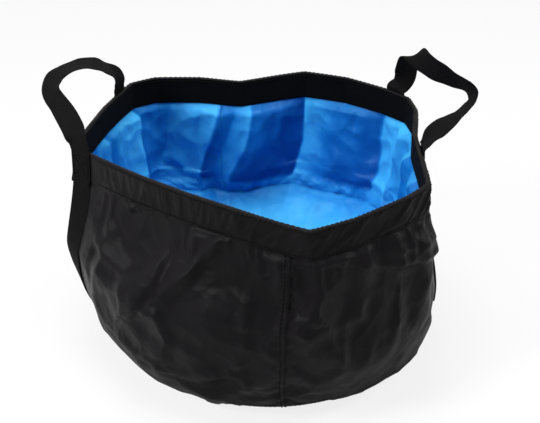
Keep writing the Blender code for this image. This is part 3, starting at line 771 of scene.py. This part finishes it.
def shell_drape():
    """The outer cloth: hung from the hem, slack over the girth, gathered into the base."""
    angles = FRONT_SEAM + np.linspace(0.0, 360.0, SHELL_COLUMNS + 1)
    shares = np.linspace(0.0, CLOTH_TOP, SHELL_ROWS + 1)
    angle, share = np.meshgrid(angles, shares)
    at_front = ramp(np.cos(np.radians(angle - FRONT_SEAM)), 0.1, 1.0)
    angle = angle - SEAM_LEAN * at_front * ramp(0.87 - share, 0.0, 0.87)
    flat = layer(angle, share, SHELL_DEPTH)
    flat[..., 2] = np.maximum(flat[..., 2] - flat[0, :, 2] * (1 - share), 0.0)
    normal = outward(angle, share)
    drop = height_share(angle, HEM_HEIGHT) - share
    room = ramp(drop, 0.0, 0.024) * ramp(share, 0.0, 0.05) * (1.0 - 0.85 * near_feet(angle, 9.0))
    stretched = flat * (1.0, 1.0, 0.55)
    soft = 0.0016 * rumple(stretched, 18.0, 3.1) + 0.0008 * rumple(flat, 55.0, 8.2)
    gathers = 0.0013 * rumple(ring(angle, 0.12 * share), 17.0, 1.3) * ramp(share, 0.66, 0.84) * 2.2
    crinkle = crinkles(stretched, 0.0062, 12.5, 5.7, 0.22) + crinkles(flat, 0.0024, 30.0, 15.7, 0.22)
    points = flat + normal * ((soft + gathers) * room)[..., None]
    points = points + settle(points, growth=0.035, cap=0.0035, stiffness=0.6) * room[..., None]
    points = points + normal * ((crinkle + fold_field(angle, flat[..., 2])) * room)[..., None]
    deepest = (0.0006 + 0.45 * lining_slack(angle, share)) * ramp(drop, 0.0, 0.03)
    points = held_within(points, flat, normal, -deepest, np.inf)
    points[..., 2] = np.maximum(points[..., 2], 0.0)
    return Drape(angles, shares, points)


def halves(name, node, drape, reach, material, thickness, painted_shading=None):
    """The right and the left half of a drape, each from one seam to the other, with any painted light and
    shade of the drape's points.
    """
    columns, rows = len(drape.angles) - 1, len(drape.shares) - 1
    pieces = []
    for side, start in (("right", FRONT_SEAM), ("left", REAR_SEAM)):
        first = round((start - FRONT_SEAM) % 360.0 / 360.0 * columns)

        def spot(across, up):
            column = first + np.rint(across * (columns // 2)).astype(int)
            return np.rint(up * rows).astype(int), column % columns

        def place(across, up):
            return drape.points[spot(across, up)], np.stack((across * reach[0], up * reach[1]), -1)

        def shade(across, up):
            return painted_shading[spot(across, up)]

        work = mapped_sheet(columns // 2, rows, place, painted_shading=None if painted_shading is None else shade)
        pieces.append(add_piece(name + side, work, material, "base", thickness, [node + side], True))
    return pieces


shell = shell_drape()
for wall in halves(
    "shell_wall_", "outer_wall_", shell, (480.0, 215.0), shell_nylon, SHELL_CLOTH,
):
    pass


def base_disc(across, up):
    """The base panel: flat, with a faint pucker round its seam."""
    turn = 2 * math.pi * across
    radius = (FLOOR_RADIUS - 0.0012) * (0.02 + 0.98 * (1 - up))
    lift = 0.0008 + 0.0004 * ramp(radius, 0.100, 0.120) * (1 + np.sin(turn * 37) * 0.5)
    points = np.stack((radius * np.cos(turn), radius * np.sin(turn), lift), -1)
    return points, points[:, :2] * 1000.0


def close_middle(work):
    """Fill the small hole in the middle of a round sheet."""
    rim = [edge for edge in work.edges if edge.is_boundary]
    centre = sum((edge.verts[0].co for edge in rim), Vector()) / len(rim)
    middle = [edge for edge in rim if (edge.verts[0].co - centre).xy.length < 0.04]
    bmesh.ops.contextual_create(work, geom=middle)
    return work


base_panel = add_piece(
    "shell_base", close_middle(mapped_sheet(120, 14, base_disc, closed=True)),
    shell_nylon, "base", thickness=0.0007, nodes=["outer_base_panel"],
)


# ---------------------------------------------------------------- the lining

def lining_drape():
    """The lining wall: pleated under the hem and billowing in to its own floor."""
    angles = FRONT_SEAM + np.linspace(0.0, 360.0, LINING_COLUMNS + 1)
    shares = np.linspace(CREASE_HEIGHT / RIM_HEIGHT, CLOTH_TOP, LINING_ROWS + 1)
    angle, share = np.meshgrid(angles, shares)
    slack = lining_slack(angle, share)
    flat = layer(angle, share, LINING_DEPTH + slack)
    normal = outward(angle, share)
    drop = height_share(angle, HEM_HEIGHT) - share
    below = ramp(drop, 0.0, 0.03)
    soft = 0.0012 * rumple(flat * (1, 1, 0.5), 24.0, 12.1) + 0.0006 * rumple(flat, 60.0, 4.2)
    crinkle = crinkles(flat * (1, 1, 0.7), 0.0056, 20.0, 15.3) + crinkles(flat, 0.0044, 45.0, 35.3)
    foot = 0.003 * ramp(CREASE_HEIGHT + 0.016 - flat[..., 2], 0.0, 0.016)
    points = flat - normal * (soft * below)[..., None]
    free = ramp(drop, 0.0, 0.05)[..., None]
    points = points + settle(points, growth=0.03, cap=0.0030, stiffness=0.5) * free
    points = points - normal * ((crinkle + pleat_field(angle, flat[..., 2]) + foot) * below)[..., None]
    return Drape(angles, shares, held_within(points, flat, normal, -np.inf, 0.0003 + 0.40 * slack))


def floor_painted_shading(angle):
    """Painted light and shade of the film round the edge of the lining's floor, kept no darker than 0.55."""
    return np.maximum(0.15 + 0.6 * crease_pleats(angle, True), 0.55)


def wall_painted_shading():
    """Painted light and shade on the lining's wall: painted shade deepening lower down, and the same painted
    light and shade as the floor at its foot.
    """
    angles, shares = np.meshgrid(lining.angles, lining.shares)
    heights = shares * RIM_HEIGHT
    painted_shading = pleat_field(angles, heights, painted_shading=True)
    # Painted shade towards the wall's foot, deeper on the darker flanks.
    painted_shading -= 0.35 * (1.0 - painted_shading) * ramp(0.150 - heights, 0.0, 0.060)
    # Below a wavy line the wall takes the floor's painted light and shade.
    floor_line = 0.102 + 0.005 * rumple(lining.points, 22.0, 51.0)
    return painted_shading + (floor_painted_shading(lining.angles) - painted_shading) * ramp(floor_line - heights, 0.0, 0.007)


lining = lining_drape()
# The lining's wall, with its painted light and shade.
for wall in halves(
    "lining_skirt_", "lining_wall_", lining, (470.0, 105.0), blue_film, LINING_CLOTH,
    wall_painted_shading(),
):
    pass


def dish(across, up):
    """The lining's floor: it starts at the crease and sags to a flat middle."""
    angle = FRONT_SEAM + 360.0 * across
    edge = lining.at(angle, lining.shares[0], -0.00046)
    high_edge = lining.at(angle, lining.shares[0] + 0.010, -0.00043)
    inward = (1.0 - up) * 0.985
    centre = np.array((RIM_SHIFT_X, RIM_SHIFT_Y, CREASE_HEIGHT))
    points = edge + (centre - edge) * inward[:, None]
    points[:, 2] -= DISH_DEPTH * np.sin(math.pi / 2 * inward)
    wave = 0.0020 * rumple(points, 24.0, 21.0) + crinkles(points, 0.0062, 14.0, 31.0)
    wave += crinkles(points, 0.0040, 33.0, 3.0)
    wave += 0.6 * (crease_pleats(angle) - 0.005) * ramp(1.0 - inward, 0.45, 0.95)
    points[:, 2] += wave * ramp(inward, 0.0, 0.12)
    points += (high_edge - edge) * np.clip((up - 0.96) / 0.04, 0.0, 1.0)[:, None]
    return points, (points[:, :2] - centre[:2]) * 1000.0


def dish_painted_shading(across, up):
    """The pleats' painted light and shade runs on into the dish, fading to painted light in its middle, with
    more painted light over its front half.
    """
    angle = FRONT_SEAM + 360.0 * across
    middle = ramp(1.0 - up, 0.0, 0.30)
    # Painted light over the dish's front half.
    near = 0.15 * ramp(-np.sin(np.radians(angle)) * up, -0.2, 0.3)
    return floor_painted_shading(angle) * (1.0 - middle) + 0.95 * middle + near


# The lining's floor, with its painted light and shade.
floor_panel = add_piece(
    "lining_dish", close_middle(mapped_sheet(LINING_COLUMNS, 44, dish, True, dish_painted_shading)),
    blue_film, "base", LINING_CLOTH, ["lining_base_panel"], True,
)
if sum(face.normal.z * face.area for face in floor_panel.data.polygons) < 0:
    floor_panel.data.flip_normals()


# ---------------------------------------------------------------- the hem

def puckers(angle, below):
    """How far the gathered hem stands out between its two stitch lines."""
    at_right = ramp(np.cos(np.radians(angle + 45.0)), 0.3, 0.9)
    place = ring(angle + below * 330.0 * at_right, below * 2.5)
    gather = (0.7 + 1.1 * at_right) * (0.45 - np.abs(rumple(place, 13.0, 2.2)) * 2.2)
    gather += 0.5 * rumple(place, 30.0, 6.2)
    between = ramp(below, 0.0, 0.006) * (1.0 - 0.75 * ramp(below, HEM_HEIGHT - 0.006, HEM_HEIGHT - 0.002))
    stitched = 0.0003 * rumple(place, 60.0, 9.9)
    return np.maximum(0.0012 * gather * between + stitched, -0.0007) * (1.0 - near_feet(angle))


def hem_band(name, node, profile, columns, material, outer):
    """A band round the rim through rows of depth and distance below the rim's top edge."""
    depths, belows = np.array(profile).T
    steps = np.r_[0, np.cumsum(np.hypot(np.diff(depths), np.diff(belows)))]

    def place(across, up):
        angle = FRONT_SEAM + 360.0 * across
        where = up * steps[-1]
        depth, below = np.interp(where, steps, depths), np.interp(where, steps, belows)
        if outer:
            bulge = puckers(angle, below) * ramp(-depth, -0.0008, 0.0)
            bulge += 0.00055 * np.sin(np.radians(angle) * HEM_NICKS) * ramp(0.004 - below, 0.0, 0.004)
        else:
            bulge = -0.25 * puckers(angle, below) * ramp(depth, FACING_DEPTH - 0.0004, FACING_DEPTH)
        points = layer(angle, height_share(angle, below), depth - bulge)
        return points, np.stack((across * HEM_GIRTH, where * 1000.0), -1)

    work = mapped_sheet(columns, HEM_ROWS, place, closed=True)
    add_piece(name, work, material, "rim", HEM_CLOTH, [node])


CUFF_PROFILE = (
    (0.0, HEM_HEIGHT), (0.0, 0.0018), (0.0004, 0.0007), (0.0012, 0.0001), (0.0022, 0.0), (0.0034, 0.0001),
    (0.0041, 0.0006), (0.0044, 0.0014),
)
FACING_PROFILE = ((FACING_DEPTH, HEM_HEIGHT), (FACING_DEPTH, 0.0022))
hem_band("hem_cuff", "rim_outer_cuff", CUFF_PROFILE, 760, hem_nylon, True)
hem_band("hem_facing", "rim_inner_facing", FACING_PROFILE, 600, binding_weave, False)


def stiffener(across, up):
    """The plastic strip that runs inside the hem."""
    angle = FRONT_SEAM + 360.0 * across
    points = layer(angle, height_share(angle, 0.0225 - 0.019 * up), 0.0019)
    return points, np.stack((across * STRIP_GIRTH, up * 19.0), -1)


add_piece(
    "hem_strip", mapped_sheet(400, 4, stiffener, closed=True),
    strip_plastic, "rim", thickness=0.0010, nodes=["rim_stiffener"],
)


# ---------------------------------------------------------------- stitches

def stitch_row(work, surface, places, step, length, girth):
    """Lay a short fat thread at each place on a surface of place and lift, towards the next place."""
    here = surface(places, 0.0)
    rows = here, surface(places + step, 0.0) - here, surface(places, 0.001) - here
    batch = bpy.data.meshes.new("stitches")
    for first in range(0, len(here), 24):
        few = bmesh.new()
        for centre, way, up in zip(*(row[first:first + 24] for row in rows)):
            way, up = Vector(way).normalized(), Vector(up)
            side = up.cross(way).normalized()
            stand = Matrix((way * length / 2, side * girth, way.cross(side) * girth)).transposed().to_4x4()
            bmesh.ops.create_uvsphere(
                few, u_segments=6, v_segments=4, radius=1.0,
                matrix=Matrix.Translation(Vector(centre)) @ stand @ Matrix.Rotation(math.pi / 2, 4, "Y"),
            )
        few.to_mesh(batch)
        few.free()
        work.from_mesh(batch)
    bpy.data.meshes.remove(batch)


def hem_stitches():
    work = bmesh.new()
    angles = FRONT_SEAM + (np.arange(HEM_STITCHES) + 0.5) * 360.0 / HEM_STITCHES
    inside = FACING_DEPTH + HEM_CLOTH
    for below, depth, sign in (
        (0.0026, 0.0, 1), (0.0232, 0.0, 1), (0.0030, inside, -1), (0.0228, inside, -1),
    ):
        def surface(angle, lift):
            proud = puckers(angle, np.full(angle.shape, below)) if sign > 0 else 0.0
            return layer(angle, height_share(angle, below), depth - sign * (lift + 0.0001) - proud)

        free = angles[near_feet(angles, 4.5) < 0.5] if sign > 0 else angles
        stitch_row(work, surface, free, step=0.3, length=0.0027, girth=0.00042)
    add_piece("hem_stitching", work, black_thread, "rim")


hem_stitches()


def seam_strip(name, angle):
    """A felled seam: a narrow doubled strip that follows the shell, with two rows of stitches."""
    spread = degrees_round(SEAM_WIDTH / 2)

    def place(across, up):
        share = SEAM_LOW + (SEAM_HIGH - SEAM_LOW) * up
        crown = np.sqrt(np.clip(1.0 - (2 * across - 1) ** 4, 0.0, 1.0))
        points = shell.at(angle + spread * (2 * across - 1), share, SEAM_LIFT * crown - 0.0003)
        return points, np.stack((across * SEAM_WIDTH * 1000, up * 170.0), -1)

    add_piece(
        name, mapped_sheet(8, 110, place), shell_nylon, "base",
        thickness=0.0005, crumples=True,
    )
    work = bmesh.new()
    shares = np.linspace(SEAM_LOW + 0.004, SEAM_HIGH - 0.004, 52)
    for side in (-0.55, 0.55):
        def surface(share, lift):
            return shell.at(angle + spread * side, share, SEAM_LIFT + 0.0001 + lift)

        stitch_row(work, surface, shares, step=0.005, length=0.0025, girth=0.00040)
    add_piece(name + "_stitching", work, black_thread, "base", crumples=True)


seam_strip("front_felled_seam", FRONT_SEAM)
seam_strip("rear_felled_seam", REAR_SEAM)


def base_welt(across, up):
    """The piping where the walls are sewn to the base panel."""
    angle = FRONT_SEAM + 360.0 * across
    turn = 2 * math.pi * up
    radius = 0.0008 + 0.0001 * np.sin(across * 2 * math.pi * 190)
    points = shell.at(angle, 0.010) + outward(angle, 0.010) * (0.0002 + radius * np.cos(turn))[:, None]
    points[:, 2] += radius * np.sin(turn)
    return points, np.stack((across * WELT_GIRTH, up * 5.0), -1)


add_piece(
    "base_welt", mapped_sheet(420, 8, base_welt, closed=True),
    hem_nylon, "base", crumples=True,
)


# ---------------------------------------------------------------- the hidden seam tapes

def upright_tape(angle):
    def place(across, up):
        share = 0.50 + (0.860 - 0.50) * up
        spread = 3.4 * (2 * across - 1)
        return lining.at(angle + spread, share, 0.0007), np.stack((across * 18.0, up * 70.0), -1)
    return place


def round_tape(across, up):
    angle = FRONT_SEAM + 360.0 * across
    return lining.at(angle, 0.437 + 0.055 * up, 0.0007), np.stack((across * TAPE_GIRTH, up * 12.0), -1)


for name, node, sheet in (
    ("tape_front", "lining_seam_tape_front", mapped_sheet(6, 40, upright_tape(FRONT_SEAM))),
    ("tape_rear", "lining_seam_tape_rear", mapped_sheet(6, 40, upright_tape(REAR_SEAM))),
    ("tape_round", "lining_base_seam_tape", mapped_sheet(LINING_COLUMNS, 4, round_tape, closed=True)),
):
    add_piece(name, sheet, tape_film, "base", thickness=0.0003, nodes=[node], crumples=True)


# ---------------------------------------------------------------- handles and tails

def strap_section(across):
    """Corner-rounded outline of flat webbing, as shares of its half width and half thickness."""
    turn = 2 * math.pi * across
    wide = np.sign(np.cos(turn)) * np.abs(np.cos(turn)) ** 0.35
    deep = np.sign(np.sin(turn)) * np.abs(np.sin(turn)) ** 0.55
    return wide * (1.0 - 0.018 * (np.abs(deep) > 0.9)), deep


def strap(name, line, widths, body, nodes, crumples=False):
    """Webbing swept along a line of points, with its width along the given directions."""
    line, widths = np.asarray(line), np.asarray(widths)
    tangent = np.gradient(line, axis=0)
    tangent /= np.linalg.norm(tangent, axis=-1, keepdims=True)
    widths = widths - tangent * (widths * tangent).sum(-1, keepdims=True)
    widths /= np.linalg.norm(widths, axis=-1, keepdims=True)
    deeps = np.cross(tangent, widths)
    run = np.r_[0, np.cumsum(np.linalg.norm(np.diff(line, axis=0), axis=-1))] * 1000.0
    last = len(line) - 1

    def place(across, up):
        row = np.rint(up * last).astype(int)
        wide, deep = strap_section(across)
        firm = 1.0 - 0.10 * (np.abs(wide) < 0.82)
        points = (line[row] + widths[row] * (wide * WEBBING_WIDTH / 2)[:, None]
                  + deeps[row] * (deep * firm * WEBBING_THICKNESS / 2)[:, None])
        return points, np.stack((wide * WEBBING_WIDTH * 500.0, run[row]), -1)

    work = mapped_sheet(32, last, place, closed=True)
    bmesh.ops.holes_fill(work, edges=[edge for edge in work.edges if edge.is_boundary], sides=0)
    bmesh.ops.recalc_face_normals(work, faces=work.faces)
    return add_piece(name, work, strap_weave, body, 0.0, nodes, crumples)


def curve_through(points, steps):
    """Points along a smooth curve through the given ones."""
    knots = np.asarray(points, float)
    apart = np.linalg.norm(np.diff(knots[:, :3], axis=0), axis=-1)
    place = np.r_[0, np.cumsum(np.maximum(apart, 1e-4) ** 0.5)]
    table, where = np.c_[place, knots], np.linspace(0.0, place[-1], steps)
    return np.stack([smooth_read(table, where, column) for column in range(1, table.shape[1])], -1)


def foot_point(angle):
    depth = -CLEARANCE - WEBBING_THICKNESS / 2
    return layer(angle, 1.0, depth) + (0, 0, 0.0005 + WEBBING_THICKNESS / 2 + 2 * CLEARANCE)


def rim_way(angle):
    way = skin(np.array(angle + 1.0), np.array(1.0)) - skin(np.array(angle - 1.0), np.array(1.0))
    return way / np.linalg.norm(way)


def handle(side, shares, sign):
    """One length of webbing: a sewn end, the loop, and the other sewn end."""
    rear_angle, front_angle = FEET[side + "_rear"], FEET[side + "_front"]
    rear, front = foot_point(rear_angle), foot_point(front_angle)
    chord = front - rear
    feet_line = chord / np.linalg.norm(chord)
    out = np.array((chord[1], -chord[0], 0.0))
    out = out / np.linalg.norm(out) * sign
    up = np.array((0.0, 0.0, 1.0))

    def row_width(row):
        return feet_line * row[3] + out * row[4] + up * row[5]

    def sewn_end(angle, like):
        way = rim_way(angle)
        way = way * np.sign(way @ like)
        rows = []
        for below in (0.0290, 0.0262, 0.021, 0.014, 0.007, 0.0015):
            proud = CLEARANCE + WEBBING_THICKNESS / 2 + 0.0009 * float(ramp(below, 0.0215, 0.0262))
            rows.append((*layer(angle, height_share(angle, below), -proud), *way))
        return rows, way

    rear_end, rear_way = sewn_end(rear_angle, row_width(shares[0]))
    front_end, front_way = sewn_end(front_angle, row_width(shares[-1]))
    rows = [*rear_end, (*rear, *rear_way)]
    for index, row in enumerate(shares):
        point = rear + chord * row[0] + out * (LOOP_REACH * row[1]) + up * (LOOP_RISE * row[2])
        near_rear = max(0.0, 1.0 - index / 2.0)
        near_front = max(0.0, 1.0 - (len(shares) - 1 - index) / 2.0)
        width = row_width(row) * (1 - near_rear - near_front)
        rows.append((*point, *(width + rear_way * near_rear + front_way * near_front)))
    rows += [(*front, *front_way), *front_end[::-1]]
    path = curve_through(rows, 220)
    nodes = [side + "_handle", side + "_rear_strap_anchor", side + "_front_strap_anchor"]
    piece = strap(side + "_webbing", path[:, :3], path[:, 3:], None, nodes)
    start = rear + np.array((0, 0, -0.003))
    tuple(start + out * 0.009 + up * 0.009)
    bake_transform(piece)


handle("left", LEFT_LOOP_SHARES, 1.0)
handle("right", RIGHT_LOOP_SHARES, -1.0)


def smoothed(row, width):
    """The running mean over a width of places, without its ends."""
    return np.convolve(row, np.ones(width) / width, "valid")


def tail(foot, angle, drift):
    """The webbing's end below the hem, hanging against the wall and drifting round it a little."""
    top = float(height_share(angle, HEM_HEIGHT + 0.0004))
    bottom = float(height_share(angle, HEM_HEIGHT + 0.002 + TAIL_LENGTH))
    shares = np.linspace(bottom, top, 70)
    down = 1.0 - (shares - bottom) / (top - bottom)
    lift = WEBBING_THICKNESS / 2 - TAIL_SUNK + 0.0002 * ramp(down, 0.05, 0.5)
    turns = angle - drift * down ** 1.5
    spread = degrees_round(TAIL_TOUCH)
    sides = [shell.at(turns + spread * offset, shares, lift) for offset in (-1.0, -0.5, 0.0, 0.5, 1.0)]
    proud = sum(sides) / len(sides)
    normal = outward(turns, shares)
    height = np.max([((side - proud) * normal).sum(-1) for side in sides], 0)
    line = proud + normal * smoothed(np.pad(height, 4, "edge"), 9)[:, None] * 0.15
    line[:, 2] = sides[2][:, 2]
    line[3:-3] = np.stack([smoothed(line[:, axis], 7) for axis in range(3)], -1)
    widths = skin(turns + 1.0, shares) - skin(turns - 1.0, shares)
    strap(foot + "_tail", line, widths, "base", [foot + "_strap_tail"], True)


for foot, angle in FEET.items():
    tail(foot, angle, 2.5 if foot == "left_front" else 0.0)


def foot_stitches():
    """Boxes with crosses that hold the webbing's sewn ends on the hem."""
    work = bmesh.new()
    half, high, low = FOOT_BOX
    corners = ((-half, high), (half, high), (half, low), (-half, low))
    paths = ((0, 1), (1, 2), (2, 3), (3, 0), (0, 2), (1, 3))
    for angle in FEET.values():
        for (a0, b0), (a1, b1) in ((corners[i], corners[j]) for i, j in paths):
            def spot(share, lift):
                proud = -CLEARANCE - WEBBING_THICKNESS - lift
                middle = layer(angle, height_share(angle, b0 + (b1 - b0) * share), proud)
                return middle + rim_way(angle) * (a0 + (a1 - a0) * share)[:, None]

            count = max(2, round(math.hypot(a1 - a0, b1 - b0) / FOOT_STITCH_PITCH))
            places = (np.arange(count) + 0.5) / count
            stitch_row(work, spot, places, step=0.02, length=0.0022, girth=0.00028)
    add_piece("foot_stitching", work, black_thread, "rim")


foot_stitches()


# ---------------------------------------------------------------- floor, light and camera

def stage_floor():
    """A white floor that keeps the basin's soft shadow and glows where the camera sees it."""
    work = bmesh.new()
    bmesh.ops.create_grid(work, x_segments=1, y_segments=1, size=6.0)
    bmesh.ops.translate(work, vec=(0, 0, -0.0002), verts=work.verts)
    piece = placed("studio_floor", work)
    finish = Finish("floor_paper", Roughness=0.9, Base_Color=(0.82, 0.82, 0.82, 1.0), Specular_IOR_Level=0.1)
    glow = finish.node("ShaderNodeEmission", {}, {"Color": (1, 1, 1, 1), "Strength": 1.0})
    seen = finish.node("ShaderNodeLightPath", {}, {}, "Is Camera Ray")
    paper = Reading(finish, finish.shader.outputs[0])
    both = finish.node("ShaderNodeMixShader", {}, {0: seen * 0.82, 1: paper, 2: glow})
    finish.tree.links.new(both.socket, finish.tree.nodes["Material Output"].inputs["Surface"])
    piece.data.materials.append(finish.material)


def soft_box(name, where, size, power):
    """A square lamp that is turned to the basin."""
    lamp = bpy.data.lights.new(name, "AREA")
    lamp.shape, lamp.size, lamp.energy = "SQUARE", size, power
    box = placed(name, lamp)
    box.location = where
    box.rotation_euler = (Vector((0, 0, 0.1)) - Vector(where)).to_track_quat("-Z", "Y").to_euler()


def sky():
    """White where the camera, a reflection or clear film sees it, and a dim light all round."""
    world = bpy.data.worlds.new("studio")
    bpy.context.scene.world = world
    world.use_nodes = True
    tree = world.node_tree
    background = tree.nodes["Background"]
    background.inputs["Color"].default_value = (1, 1, 1, 1)
    path = tree.nodes.new("ShaderNodeLightPath")
    seen = path.outputs["Is Camera Ray"]
    for kind in ("Is Glossy Ray", "Is Transmission Ray"):
        either = tree.nodes.new("ShaderNodeMath")
        either.operation = "MAXIMUM"
        tree.links.new(seen, either.inputs[0])
        tree.links.new(path.outputs[kind], either.inputs[1])
        seen = either.outputs[0]
    level = tree.nodes.new("ShaderNodeMapRange")
    level.inputs["To Min"].default_value = 0.26
    level.inputs["To Max"].default_value = 1.0
    tree.links.new(seen, level.inputs["Value"])
    tree.links.new(level.outputs[0], background.inputs["Strength"])


def camera():
    """The photo's view: 29 degrees down, from 1.1 m in front of the basin."""
    distance, rise = 1.1, math.radians(29.0)
    ahead = Vector((0.0, math.cos(rise), -math.sin(rise)))
    lens = bpy.data.cameras.new("camera")
    lens.lens, lens.sensor_width, lens.sensor_fit = 84.3, 36.0, "HORIZONTAL"
    eye = placed("camera", lens)
    eye.location = Vector((-0.002, -0.010, 0.1225)) - ahead * distance
    eye.rotation_euler = ahead.to_track_quat("-Z", "Y").to_euler()
    bpy.context.scene.camera = eye


stage_floor()
soft_box("top_light", (-0.15, 0.0, 1.5), size=0.6, power=15.0)
soft_box("left_light", (-1.15, -0.75, 1.05), size=0.40, power=17.0)
soft_box("right_light", (1.3, 0.0, 1.1), size=0.40, power=10.0)
sky()
camera()
bpy.context.scene.view_settings.view_transform = "Standard"
